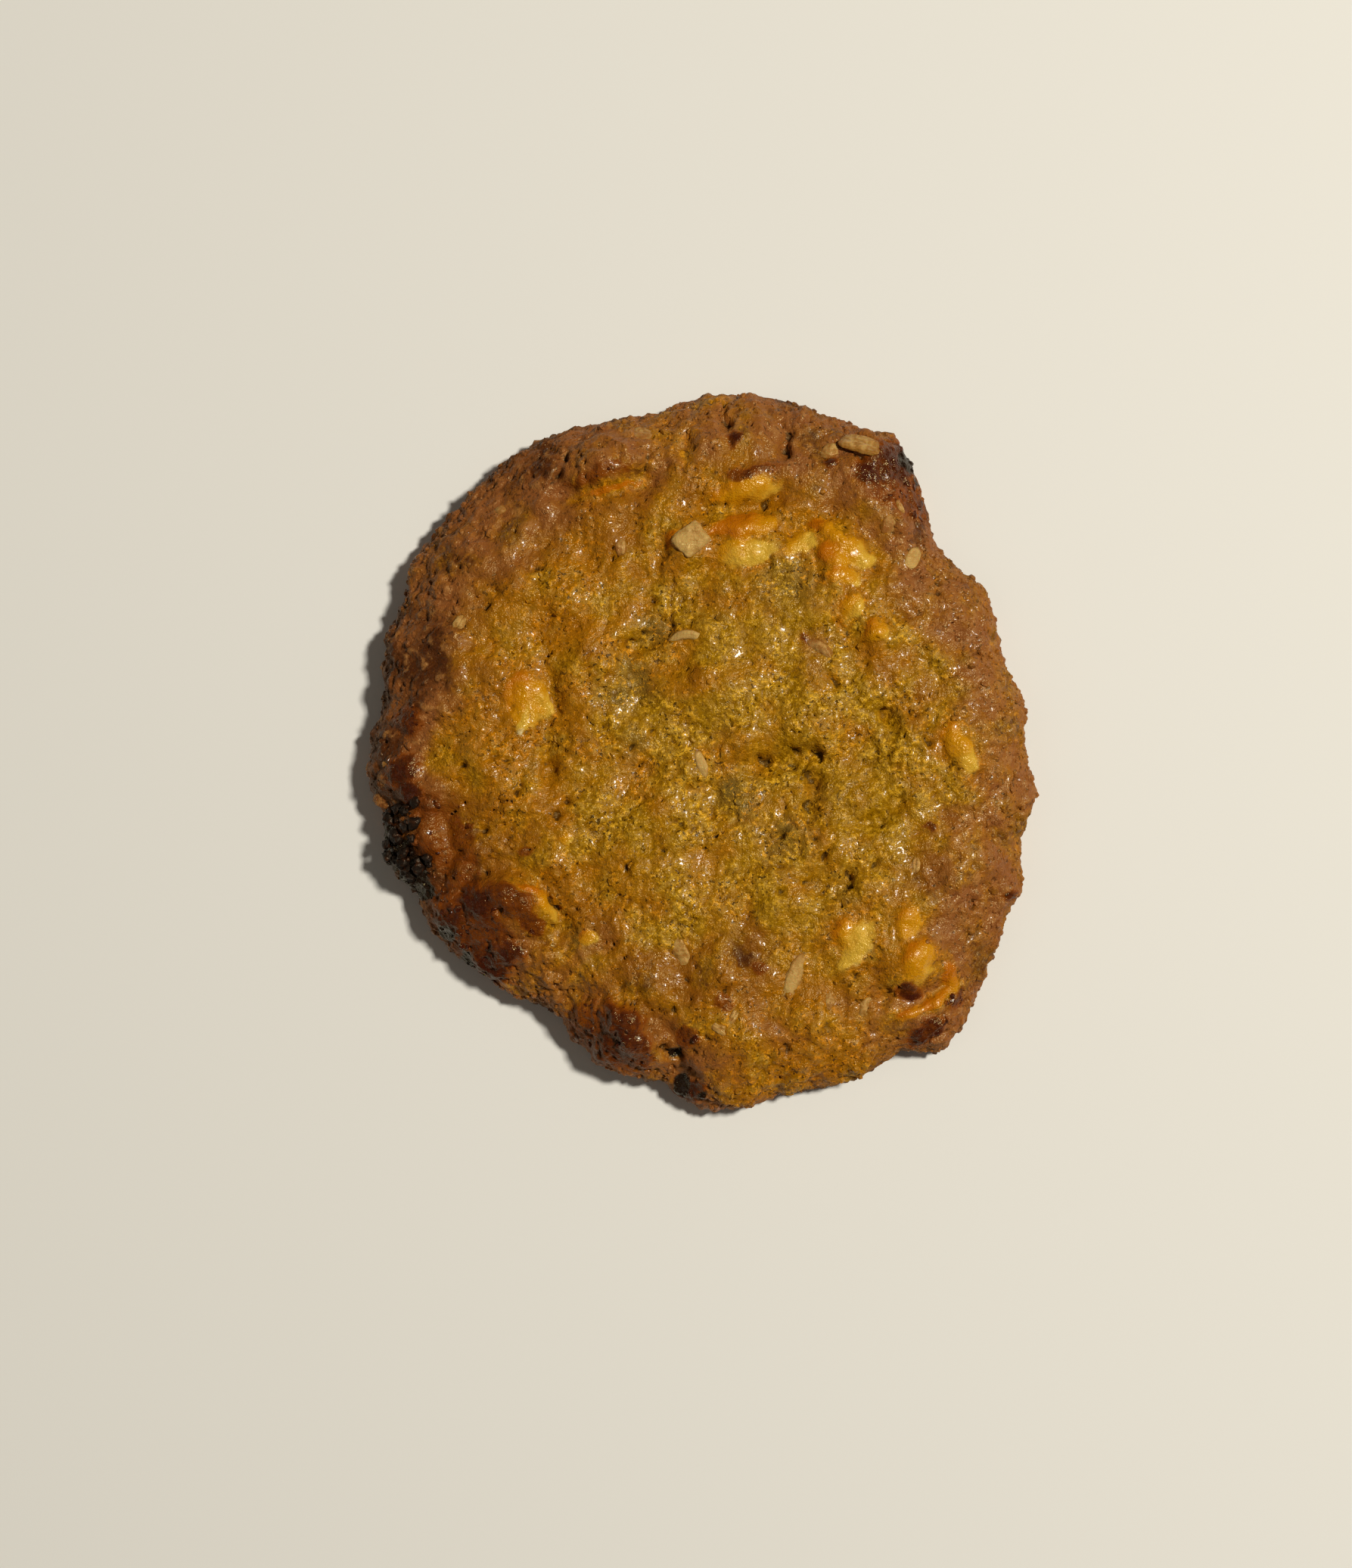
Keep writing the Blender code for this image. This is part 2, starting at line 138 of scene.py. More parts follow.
MOUNDS = (
    (23.7, 14.7, 3.4, 0.9), (1.5, 8.0, 5.0, 0.9), (-14.0, 12.0, 4.5, 0.7),
    (9.0, -6.5, 5.0, 0.8), (-26.5, -4.5, 3.6, 0.9), (18.5, 23.0, 3.2, 0.6),
    (21.0, 6.8, 3.6, 0.7), (14.0, 5.5, 4.0, 0.6), (26.0, 30.5, 3.5, 0.7),
    (35.0, 21.0, 3.6, 0.6), (-27.5, 6.5, 5.0, 1.2), (-13.0, 37.0, 7.0, 1.5),
    (4.0, 40.5, 5.5, 1.0), (-1.0, 28.0, 3.4, 0.9), (7.0, 28.5, 4.0, 0.6),
    (-24.0, -20.5, 5.0, 1.3), (-10.5, -38.0, 6.0, 1.4), (28.5, -27.5, 5.0, 1.1),
    (34.5, -1.0, 4.0, 0.9), (21.5, -25.0, 4.0, 0.7), (33.0, -15.0, 5.0, 0.6),
    (-19.0, 21.0, 5.0, 0.6), (-35.0, 8.0, 4.0, 0.7), (6.0, -41.0, 5.0, 0.7),
    (-8.0, -17.0, 5.5, 0.6), (-30.0, 25.0, 4.5, 0.6), (15.0, -39.0, 5.0, 0.5),
    (24.5, 40.0, 4.5, 0.8), (41.0, -4.0, 4.0, 0.6), (-38.5, -6.5, 3.5, 0.9),
)
FURROWS = (
    (1.3, 1.6, ((5.0, -2.5), (8.5, -2.3), (12.0, -2.5), (14.5, -1.0))),
    (1.1, 1.3, ((15.3, -4.5), (15.0, -8.0), (14.7, -9.8))),
    (3.4, 0.9, ((1.0, -8.0), (5.0, -6.0), (9.5, -3.5))),
    (1.1, 1.2, ((22.8, -10.3), (25.0, -9.5), (26.2, -7.4))),
    (1.2, 1.2, ((-9.0, 12.8), (-7.0, 13.7), (-4.5, 15.6))),
    (1.0, 0.9, ((-20.0, -0.5), (-20.2, -4.0))),
    (1.0, 0.9, ((18.0, -20.0), (20.2, -16.8))),
    (1.8, 0.9, ((12.5, 29.0), (17.0, 31.5), (20.5, 30.5), (25.0, 26.5))),
    (1.2, 1.3, ((3.6, 46.5), (3.4, 43.0))),
    (1.1, 1.0, ((11.0, 43.0), (11.2, 39.5))),
    (1.1, 0.9, ((-2.0, 41.0), (-2.0, 38.5))),
    (1.5, 1.2, ((-38.8, 22.5), (-36.5, 25.5), (-35.0, 29.3), (-32.0, 32.0), (-29.0, 34.2))),
    (1.5, 1.3, ((-19.0, 33.5), (-13.0, 33.4), (-6.5, 35.4))),
    (1.6, 1.0, ((0.5, 31.8), (5.5, 31.3), (10.5, 33.5))),
    (1.2, 0.5, ((-20.2, 9.2), (-19.2, 6.0), (-20.8, 2.0))),
    (1.7, 1.1, ((-29.5, -15.8), (-24.0, -16.2), (-19.0, -19.5), (-18.3, -24.0))),
    (1.6, 1.0, ((-19.0, -34.0), (-14.0, -33.0), (-8.0, -33.5), (-4.0, -38.0))),
    (1.4, 1.0, ((25.0, -33.0), (28.5, -33.6), (32.5, -31.5))),
    (1.3, 0.9, ((-34.5, -9.0), (-33.0, -14.0), (-35.0, -19.0))),
)
HOLLOWS = (
    (-2.2, -44.6, 2.2, 3.2), (-3.3, -41.0, 1.6, 1.4), (24.7, 4.0, 1.2, 1.2),
    (-5.0, 26.3, 1.6, 1.2), (28.0, 38.5, 2.2, 1.2), (-9.5, 8.0, 3.5, 0.6),
    (12.5, 22.0, 3.5, 0.5), (-40.5, -14.5, 2.4, 1.0), (-31.0, -27.5, 2.6, 0.9),
    (36.5, -33.0, 2.2, 0.9), (-33.5, 0.0, 2.8, 0.5), (17.5, -19.5, 3.4, 0.5),
)
print(len(MOUNDS), "mounds,", len(FURROWS), "furrows,", len(HOLLOWS), "hollows")


# %% The height of the crust at any place
def perlin(points, wave):
    """Smooth noise, about -1 to 1, whose bumps are one wave across."""
    return np.array([noise.noise(p) for p in (points / wave).tolist()])


def drift(points, wave, shift=0.0):
    """Smooth noise that has a direction, from about -1 to 1 along each axis."""
    return np.array([noise.noise_vector(p) for p in (points / wave + shift).tolist()])


def bell(distance, width):
    """1 at the middle, nearly 0 at twice the width."""
    return np.exp(-((distance / width) ** 2))


def path_distance(x, y, path):
    """Distance from each place to a line through several points."""
    best = np.full(x.shape, np.inf)
    for (ax, ay), (bx, by) in zip(path, path[1:]):
        dx, dy = bx - ax, by - ay
        share = np.clip(((x - ax) * dx + (y - ay) * dy) / (dx**2 + dy**2), 0.0, 1.0)
        best = np.minimum(best, np.hypot(x - ax - share * dx, y - ay - share * dy))
    return best


def relief(x, y):
    """Height above the plain dome."""
    height = np.zeros(x.shape)
    for wave, swell in SWELLS:
        places = np.stack((x, y, np.full(x.shape, wave * wave)), axis=1)
        height += swell * perlin(places, wave)
    for mound_x, mound_y, radius, rise in MOUNDS:
        height += rise * bell(np.hypot(x - mound_x, y - mound_y), radius)
    for width, depth, path in FURROWS:
        height -= depth * bell(path_distance(x, y, path), width)
    for hollow_x, hollow_y, radius, depth in HOLLOWS:
        height -= depth * bell(np.hypot(x - hollow_x, y - hollow_y), radius)
    return height


def crust_height(x, y):
    """Height of the top above the base, in mm, for arrays of places."""
    share = np.minimum(np.hypot(x, y) / edge_distance(np.arctan2(y, x)), 1.0)
    crown = CROWN_RIM + (CROWN_MIDDLE - CROWN_RIM) * (1.0 - share**2)
    over = np.maximum(0.0, share - SHOULDER_START) / (1.0 - SHOULDER_START)
    shoulder = np.maximum(0.0, 1.0 - over**SHOULDER_SHAPE) ** (1.0 / SHOULDER_SHAPE)
    return WAIST_HEIGHT + (crown + relief(x, y) - WAIST_HEIGHT) * shoulder


def ragged(points):
    """Push that frays the side and leaves the base flat."""
    push = drift(points, RAGGED_WAVE) * RAGGED_DEPTH
    push[:, 2] *= np.minimum(1.0, points[:, 2] / WAIST_HEIGHT)
    return push


print("height at the middle:", crust_height(np.zeros(1), np.zeros(1)).round(2))

# %% [markdown]
# ## The crust as a mesh
#
# A square grid bent into a disc gives even cells, with no crowded pole in the
# middle. Its border runs on down the side as rings. The underside needs less
# detail, so its rings lose every second point where these crowd, and no face is
# much longer than it is wide. The fine cells go where the eye looks, and the mesh
# stays under 200,000 triangles.

# %% Rows of points for the top, the side and the underside
CELLS = 272
FOOT_RINGS = 8
UNDERSIDE_STEP = 1.25
UNDERSIDE_CROWDED = UNDERSIDE_STEP / 1.5
UNDERSIDE_LONGEST = 2.2
MEAN_RADIUS = 44.0
SMALLEST_RING = 8
SMALLEST_SHARE = 0.02


def disc_from_square(square):
    """Carry grid points, -1 to 1, into a round disc of radius 1."""
    x, y = square.T
    return np.stack((x * np.sqrt(1 - y**2 / 2), y * np.sqrt(1 - x**2 / 2)), axis=1)


def top_points(square):
    """Points on the top and the shoulder for points of the square grid."""
    disc = disc_from_square(square)
    reach = np.minimum(np.hypot(*disc.T), 1.0)
    angle = np.arctan2(disc[:, 1], disc[:, 0])
    sweep = np.clip((reach - TOP_SHARE) / (1.0 - TOP_SHARE), 0.0, 1.0) * math.pi / 2.0
    over = np.sin(sweep) ** (2.0 / SHOULDER_SHAPE)
    share = np.where(
        reach <= TOP_SHARE,
        reach / TOP_SHARE * SHOULDER_START,
        SHOULDER_START + (1.0 - SHOULDER_START) * over,
    )
    radius = edge_distance(angle) * share
    x, y = radius * np.cos(angle), radius * np.sin(angle)
    points = np.stack((x, y, crust_height(x, y)), axis=1)
    return points + ragged(points) * over[:, None]


def foot_ring(angle, inset, height):
    """A ring of points on the side, below the waist."""
    radius = edge_distance(angle) - inset
    ring = np.stack((radius * np.cos(angle), radius * np.sin(angle), height), axis=1)
    return ring + ragged(ring)


steps = np.linspace(-1.0, 1.0, CELLS + 1)
square = np.stack(np.meshgrid(steps, steps), axis=-1).reshape(-1, 2)
top = top_points(square)
index = np.arange(len(square)).reshape(CELLS + 1, CELLS + 1)
border = np.concatenate((index[0, :-1], index[:-1, -1], index[-1, :0:-1], index[:0:-1, 0]))
border_angle = np.arctan2(top[border, 1], top[border, 0])
print("top points", len(top), "border points", len(border))


# %% Faces between the rows
def band(outer, inner):
    """Faces between two rings; the inner ring may have half as many points."""
    count = len(outer)
    if len(inner) == count:
        ahead = np.roll(np.arange(count), -1)
        return np.stack((outer, inner, inner[ahead], outer[ahead]), axis=1).tolist()
    faces = []
    for k in range(len(inner)):
        a, b, c = outer[2 * k], outer[2 * k + 1], outer[(2 * k + 2) % count]
        d, e = inner[k], inner[(k + 1) % len(inner)]
        faces += [(a, d, b), (b, d, e), (b, e, c)]
    return faces


points = [top]
total = len(top)
corners = (index[:-1, :-1], index[:-1, 1:], index[1:, 1:], index[1:, :-1])
faces = np.stack([corner.ravel() for corner in corners], axis=1).tolist()
ring = border
for k in range(1, FOOT_RINGS + 1):
    sweep = k / FOOT_RINGS * math.pi / 2.0
    height = np.full(len(border), WAIST_HEIGHT * (1.0 - math.sin(sweep)))
    points.append(foot_ring(border_angle, FOOT_INSET * (1.0 - math.cos(sweep)), height))
    grown = np.arange(total, total + len(border))
    faces += band(ring, grown)
    ring, total = grown, total + len(border)

base = points[-1]
share = 1.0
while len(ring) > SMALLEST_RING:
    gap = 2 * math.pi * MEAN_RADIUS * share / len(ring)
    if gap < UNDERSIDE_CROWDED and len(ring) % 2 == 0:
        base = base[::2]
    share -= min(UNDERSIDE_STEP, UNDERSIDE_LONGEST * gap) / MEAN_RADIUS
    if share < SMALLEST_SHARE:
        break
    flat = base * (share, share, 0.0)
    points.append(flat)
    grown = np.arange(total, total + len(base))
    faces += band(ring, grown)
    ring, total = grown, total + len(base)
faces.append(ring[::-1].tolist())
points = np.concatenate(points)
print("points", len(points), "faces", len(faces))

# %% [markdown]
# ## What lies in the crust
#
# White chocolate half melts in the oven: it slumps level with the dough, and the
# two run into each other. So it is a soft swelling of the crust with a colour of
# its own, and so are the dark places where fruit and sugar boiled. A row holds the
# place, the length, the width, the turn in degrees, the rise, and the tone. The
# tone of chocolate goes from white, below 0, to caramel, above 1, and that of syrup
# from faint to dark. A ledge is a clump of plain dough, so its tone isn't used.
#
# Oat flakes keep their edges, so they are pieces laid in later; the crust is
# pressed flat for them. Their rows hold the place, the length, the width, the
# thickness, the turn, how far they stand out, the tip in degrees, how toasted and
# how square they are, and how far they arch.

# %% White chocolate, dark syrup, oat flakes and ledges
CHOCOLATE = np.array([
    (-11.6, 34.6, 9.0, 1.1, 14, 0.3, 1.7), (5.8, 34.2, 10.4, 3.4, 8, 0.6, 0.5),
    (6.2, 26.0, 9.6, 3.8, 12, 0.5, -0.05), (5.6, 29.4, 9.6, 3.4, 8, 0.5, 1.1),
    (16.6, 29.2, 5.0, 2.6, -20, 0.5, 0.9), (20.3, 26.2, 8.2, 3.4, -38, 0.5, 0.3),
    (17.6, 25.6, 4.6, 3.0, -35, 0.5, 1.0), (13.4, 27.2, 4.8, 3.2, 25, 0.4, 0.15),
    (19.3, 22.7, 5.0, 3.0, 0, 0.4, 0.5), (-20.9, 6.2, 6.2, 2.2, 102, 0.3, 0.05),
    (-23.4, 6.0, 9.0, 5.4, 102, 0.4, 0.62),
    (-23.3, 3.0, 4.2, 1.3, 75, 0.25, -0.9), (-17.6, -12.4, 2.4, 1.6, 10, 0.2, 0.3),
    (-3.6, 27.6, 3.4, 2.6, 60, 0.4, 1.0), (-20.5, -21.0, 4.6, 1.7, -60, 0.5, 0.5),
    (-22.4, -19.0, 4.6, 1.2, -24, 0.4, 1.5), (20.6, -26.5, 8.2, 4.0, 66, 0.4, -0.2),
    (18.9, -24.9, 4.0, 3.0, 60, 0.5, 0.7), (28.6, -28.6, 7.0, 4.4, 80, 0.6, 0.6),
    (27.4, -23.4, 4.6, 3.4, 70, 0.5, 0.6), (33.0, -30.6, 5.0, 1.9, -75, 0.4, 1.2),
    (30.9, -33.9, 5.6, 1.8, 40, 0.4, 1.15), (27.6, -35.5, 4.0, 1.8, 20, 0.3, 1.0),
    (34.6, -0.4, 8.0, 3.8, -62, 0.5, 0.4), (-25.2, -32.3, 5.0, 2.0, -25, 0.4, 0.45),
    (20.0, 18.4, 4.4, 3.8, 30, 0.5, 0.35), (23.5, 15.4, 3.6, 3.2, 30, 0.7, 0.6),
    (-15.0, -25.3, 3.0, 2.4, 0, 0.3, 0.5),
])
SYRUP = np.array([
    (-9.4, -38.2, 12.0, 5.2, -58, 1.1, 0.75), (-12.6, -40.2, 5.6, 4.4, -40, 0.5, 0.7),
    (-13.2, 36.4, 9.6, 1.8, 14, 0.4, 0.3), (7.0, 36.7, 8.0, 1.9, 6, 0.4, 0.65),
    (22.8, 36.8, 5.4, 3.6, 10, 0.2, 0.85), (25.0, 36.0, 13.0, 8.0, -50, 0.0, 0.35),
    (29.2, 33.0, 6.0, 2.8, -75, 0.0, 0.6), (17.4, 38.0, 2.8, 2.0, 0, 0.3, 0.85),
    (4.6, 41.2, 3.0, 2.6, 60, 0.3, 0.85), (14.2, 14.2, 2.2, 1.4, -40, 0.2, 0.6),
    (-38.8, 3.2, 5.6, 4.2, 30, 0.5, 0.7), (-39.4, -3.4, 5.8, 5.2, 60, 0.7, 0.85),
    (-38.6, -6.4, 4.0, 3.0, 0, 0.4, 0.95), (-29.4, -20.6, 5.4, 5.0, -30, 0.5, 1.0),
    (-25.2, -20.4, 8.0, 4.6, -20, 0.6, 0.6), (-22.6, -23.4, 5.4, 3.0, -40, 0.1, 0.65),
    (-25.6, -27.4, 5.0, 3.8, -20, 0.5, 0.9), (-28.4, -29.4, 6.6, 4.0, -35, 0.4, 1.0),
    (-33.2, -23.4, 5.0, 4.0, -40, 0.4, 0.95),
    (27.9, -32.7, 5.0, 2.4, -10, 0.1, 0.9), (34.0, -33.6, 3.4, 2.6, 50, 0.2, 0.75),
    (31.4, -37.0, 4.0, 2.6, 20, 0.3, 0.85), (29.2, -38.6, 4.4, 2.4, 10, 0.2, 0.8),
    (-1.8, -38.4, 3.8, 3.2, 0, 0.1, 0.6), (3.3, -33.8, 2.8, 2.4, 0, 0.3, 0.4),
    (8.0, -29.4, 2.6, 2.0, 0, 0.3, 0.5), (-23.0, -14.0, 2.6, 2.0, 0, 0.3, 0.45),
    (41.2, -19.8, 2.2, 1.8, 0, 0.2, 0.8), (30.3, -10.6, 2.0, 1.6, 0, 0.2, 0.6),
    (27.0, 38.8, 8.0, 6.0, -50, 0.1, 0.95), (-1.4, -45.8, 4.4, 3.0, 10, 0.3, 0.9),
    (-34.0, -12.0, 14.0, 9.0, -65, 0.0, 0.0),
    (-30.0, -24.0, 16.0, 10.0, -50, 0.0, 0.5), (-13.0, -38.5, 14.0, 8.0, -40, 0.0, 0.3),
])
FLAKES = np.array([
    (21.4, 40.7, 5.8, 3.4, 0.8, -17, 0.45, -8, -0.05, 3.0, 0.0),
    (17.5, 39.9, 2.8, 2.0, 0.8, 20, 0.2, 5, 0.4, 2.4, 0.0),
    (28.4, 25.2, 4.2, 2.3, 0.9, 68, 0.44, 14, -0.5, 2.0, 0.5),
    (26.8, 32.2, 2.4, 1.1, 0.8, 115, 0.2, 0, 0.3, 2.2, 0.0),
    (-7.7, 42.2, 3.8, 2.4, 0.8, -25, 0.15, 4, 0.4, 2.8, 0.2),
    (-10.6, 26.5, 2.4, 1.6, 0.8, 80, 0.2, 4, 0.4, 3.0, 0.0),
    (-26.9, 31.9, 2.0, 1.3, 0.8, 20, 0.15, -5, 0.5, 2.6, 0.0),
    (-32.0, 16.5, 2.7, 1.6, 0.8, 60, 0.22, 6, 0.0, 2.6, 0.2),
    (-1.2, 27.4, 4.4, 3.6, 1.6, 40, 0.5, 5, -0.6, 7.0, 0.0),
    (0.2, -2.5, 3.9, 1.5, 0.8, -72, 0.3, 4, -0.8, 2.6, 0.2),
    (-2.6, -27.4, 6.0, 2.2, 0.8, -65, 0.2, 6, -0.3, 2.2, 0.4),
    (12.4, -30.6, 7.0, 2.3, 0.8, 68, 0.22, 5, -0.3, 2.4, 0.4),
    (17.1, -33.8, 3.0, 1.3, 0.8, 85, 0.18, -6, 0.2, 2.4, 0.0),
    (4.4, -35.8, 2.4, 1.2, 0.8, 55, 0.2, 5, 0.0, 2.6, 0.0),
    (2.4, -37.3, 2.6, 1.5, 0.8, -30, 0.18, -5, -0.1, 2.6, 0.2),
    (21.8, -34.6, 4.0, 1.4, 0.8, 78, 0.15, 6, 0.3, 2.2, 0.3),
    (28.5, -16.0, 2.6, 1.2, 0.8, 85, 0.2, -4, -0.1, 2.4, 0.0),
    (-42.0, -2.2, 1.8, 1.0, 0.8, 10, 0.2, 6, 0.3, 2.6, 0.0),
    (25.4, 29.6, 3.0, 2.4, 0.8, 80, 0.1, 5, 0.6, 2.6, 0.0),
    (-1.9, 14.8, 5.4, 1.3, 0.8, 0, 0.42, 14, -1.4, 2.2, 1.0),
    (15.9, 13.2, 4.8, 1.6, 0.9, -32, 0.42, 14, 0.3, 2.2, 0.6),
])
LEDGES = np.array([
    (-13.2, 38.4, 11.6, 6.4, 12, 1.2, 0.0), (-33.0, -1.0, 6.0, 5.0, -30, 0.3, 0.0),
    (23.7, 40.5, 9.0, 5.0, -30, 0.5, 0.0), (-31.5, 27.5, 6.0, 4.0, 40, 0.5, 0.0),
    (36.5, 13.0, 7.0, 4.5, 80, 0.5, 0.0), (12.0, -42.5, 8.0, 5.0, 10, 0.5, 0.0),
    (35.0, -17.0, 7.0, 5.0, 70, 0.5, 0.0), (-21.0, 32.5, 5.0, 3.6, 20, 0.4, 0.0),
])
print(len(CHOCOLATE), "melted places,", len(SYRUP), "dark places,", len(FLAKES), "flakes")

# %% [markdown]
# ## Crumb, creases and pores
#
# Seen close, the crust is a crowd of small lumps with creases and pores between
# them. The absolute value of smooth noise has just that form: round tops, and a
# sharp crease wherever the noise crosses zero. Three sizes of it are added up,
# with a fourth near the rim. Where creases of two sizes meet, the dough has opened
# into a pore, and the pores and cracks that show best have places of their own.
# Smooth patches keep the largest lumps whole and about half of the others. The
# points of a fine mesh are really moved, because a bump map throws no shadow and is
# lost at the edge. A number added to a place before a noise is read only picks
# another part of that noise.


# %% A mesh object from points and faces in millimetres
def mesh_object(name, points, faces, smooth=True):
    """A new object whose mesh is given in millimetres."""
    mesh = bpy.data.meshes.new(name)
    mesh.from_pydata((points * MM).tolist(), [], faces)
    mesh.update()
    if smooth:
        mesh.shade_smooth()
    thing = bpy.data.objects.new(name, mesh)
    bpy.context.scene.collection.objects.link(thing)
    return thing


def read_points(thing, what="co"):
    """The points of an object's mesh, in mm, or its normals."""
    count = len(thing.data.vertices)
    values = np.empty(count * 3)
    if what == "co":
        thing.data.vertices.foreach_get("co", values)
        return values.reshape(-1, 3) / MM
    thing.data.vertex_normals.foreach_get("vector", values)
    return values.reshape(-1, 3)


def write_points(thing, points):
    """Move an object's points, given in mm."""
    thing.data.vertices.foreach_set("co", (points * MM).ravel())
    thing.data.update()


def paint(thing, name, values):
    """Keep one number for each point, for the finish to read."""
    layer = thing.data.attributes.new(name, "FLOAT", "POINT")
    layer.data.foreach_set("value", np.asarray(values, dtype=np.float32))


crust = mesh_object("crust", points, faces)
place = read_points(crust)
normal = read_points(crust, "normal")
print("crust", len(crust.data.polygons), "faces")


# %% Lumps, creases and pores at each point of the crust
def smooth_step(low, high, value):
    """0 below low, 1 above high, and a smooth rise between."""
    t = np.clip((value - low) / (high - low), 0.0, 1.0)
    return t * t * (3.0 - 2.0 * t)


def spots(points, marks):
    """The strongest of several soft round marks at each point."""
    total = np.zeros(len(points))
    for x, y, radius, amount in marks:
        gap = np.hypot(points[:, 0] - x, points[:, 1] - y)
        total = np.maximum(total, amount * bell(gap, radius))
    return total


def billow(points, wave):
    """Round lumps with sharp creases: 0 in a crease, about 0.5 on a lump."""
    return np.abs(perlin(points + 17.0 * wave, wave))


# Lumps: size, rise, and the share of the rise that smooth dough keeps
LUMPS = ((4.6, 0.72, 1.0), (1.9, 0.5, 0.55), (0.95, 0.44, 0.45))
LUMP_MEAN = 0.22
RIM_LUMPS = (3.2, 0.8)
GRAIN = (0.7, 0.17)
PORE_DEPTH = 1.0
# Pores: place and radius. Cracks: half width, and the points that each passes
NAMED_PORES = (
    (24.7, 4.0, 0.8), (30.3, 2.5, 0.6), (30.3, 0.0, 0.6), (22.2, 10.2, 0.5), (23.0, -16.2, 0.5),
    (24.5, -10.3, 0.5), (12.3, -2.3, 0.7), (13.2, -3.3, 0.6), (15.2, -4.5, 0.7), (14.8, -9.3, 0.7),
    (16.0, -1.5, 0.6), (-13.2, 2.2, 0.5), (-6.3, 2.2, 0.5), (-9.0, -0.2, 0.6), (4.8, 2.2, 0.5),
    (-2.5, -10.2, 0.7), (-5.0, -13.8, 0.5), (-9.5, -16.3, 0.8), (10.8, -12.3, 0.6),
    (15.2, -12.0, 0.5), (10.8, -19.7, 0.6), (-10.3, -32.0, 0.7), (3.5, -32.5, 0.7),
    (1.2, -38.8, 0.7), (11.5, -40.3, 0.7), (-3.5, -35.3, 0.6), (36.8, -21.0, 0.6),
    (20.2, -30.4, 0.6), (31.6, 22.0, 0.6), (32.0, 20.8, 0.5), (23.3, 23.7, 0.5),
    (-21.5, 24.0, 0.6), (-27.7, 20.7, 0.5), (-28.5, 18.5, 0.5), (-20.5, 27.0, 0.5),
    (-25.0, 5.0, 0.5), (-27.2, -1.5, 0.6), (-28.7, -11.3, 0.6), (-34.2, 0.4, 0.5),
    (-31.4, -2.8, 0.5), (23.1, -16.0, 0.7), (10.7, -19.8, 0.7), (-28.4, -16.6, 0.5),
    (-26.6, -22.0, 0.5), (10.8, 5.2, 0.4), (-7.6, -10.8, 0.5), (8.5, -2.2, 0.7), (18.0, 8.5, 0.5),
)
CRACKS = (
    (0.5, ((7.6, -2.0), (9.2, -2.4), (11.6, -2.6), (13.2, -3.2))),
    (0.45, ((12.6, -0.8), (14.8, -1.4))), (0.5, ((14.6, -3.6), (15.2, -5.6))),
    (0.5, ((14.4, -7.6), (14.8, -9.6))), (0.4, ((-9.2, 14.0), (-6.8, 14.8), (-4.4, 15.0))),
    (0.4, ((25.0, -8.6), (24.8, -10.1), (23.5, -10.9), (22.9, -10.4))),
    (0.35, ((19.6, -16.6), (19.8, -18.1), (18.7, -19.8))), (0.4, ((15.8, -16.0), (17.0, -13.9))),
    (0.4, ((36.8, -20.4), (36.5, -22.0))), (0.5, ((21.4, -35.6), (21.0, -34.0))),
    (0.4, ((11.5, 42.8), (11.1, 41.4), (12.0, 39.1))), (0.4, ((3.4, 46.2), (3.7, 43.8))),
    (0.4, ((18.8, 40.6), (21.2, 39.2))), (0.35, ((9.2, 33.2), (8.4, 32.3))),
    (0.55, ((-22.0, 4.4), (-22.2, 3.0), (-22.7, 1.6))), (0.6, ((-20.0, -0.6), (-20.1, -3.2))),
    (0.4, ((-23.8, -4.5), (-24.0, -6.7), (-26.6, -7.8))), (0.4, ((-27.2, -1.4), (-25.7, -1.9))),
    (0.5, ((-18.8, -9.6), (-17.8, -7.4))), (0.5, ((-19.6, -19.8), (-19.0, -21.2))),
    (0.4, ((-19.3, -23.5), (-21.3, -23.9))), (0.35, ((-18.0, -7.2), (-18.8, -8.8))),
    (0.4, ((-10.4, -16.6), (-8.8, -15.6))),
    (0.4, ((-19.4, 35.2), (-19.0, 37.4), (-17.8, 39.6))), (0.35, ((-7.4, 36.6), (-6.8, 38.8))),
    (0.4, ((-4.4, -35.6), (-3.2, -35.2))), (0.6, ((-4.9, -39.8), (-3.4, -40.6), (-2.8, -41.9))),
)

warped = place + (drift(place, 2.5) * 0.7 + drift(place, 0.9, 9.0) * 0.22)
crumbly = smooth_step(-0.3, 0.25, perlin(place + 40.0, 5.5))
rim_side = edge_distance(np.arctan2(place[:, 1], place[:, 0])) - np.hypot(place[:, 0], place[:, 1])
crumbly = np.maximum(crumbly, 1.1 * smooth_step(12.0, 3.0, rim_side))
low_side = smooth_step(0.6, 0.0, place[:, 2])
lift = np.zeros(len(place))
lumps = []
for wave, rise, when_smooth in LUMPS:
    lumps.append(billow(warped, wave))
    lift += rise * (lumps[-1] - LUMP_MEAN) * (when_smooth + (1.0 - when_smooth) * crumbly)
lift += GRAIN[1] * perlin(place, GRAIN[0]) * (0.75 + 0.25 * crumbly)
rim_lumps = billow(warped + 50.0, RIM_LUMPS[0]) - LUMP_MEAN
lift += RIM_LUMPS[1] * rim_lumps * smooth_step(14.0, 5.0, rim_side)

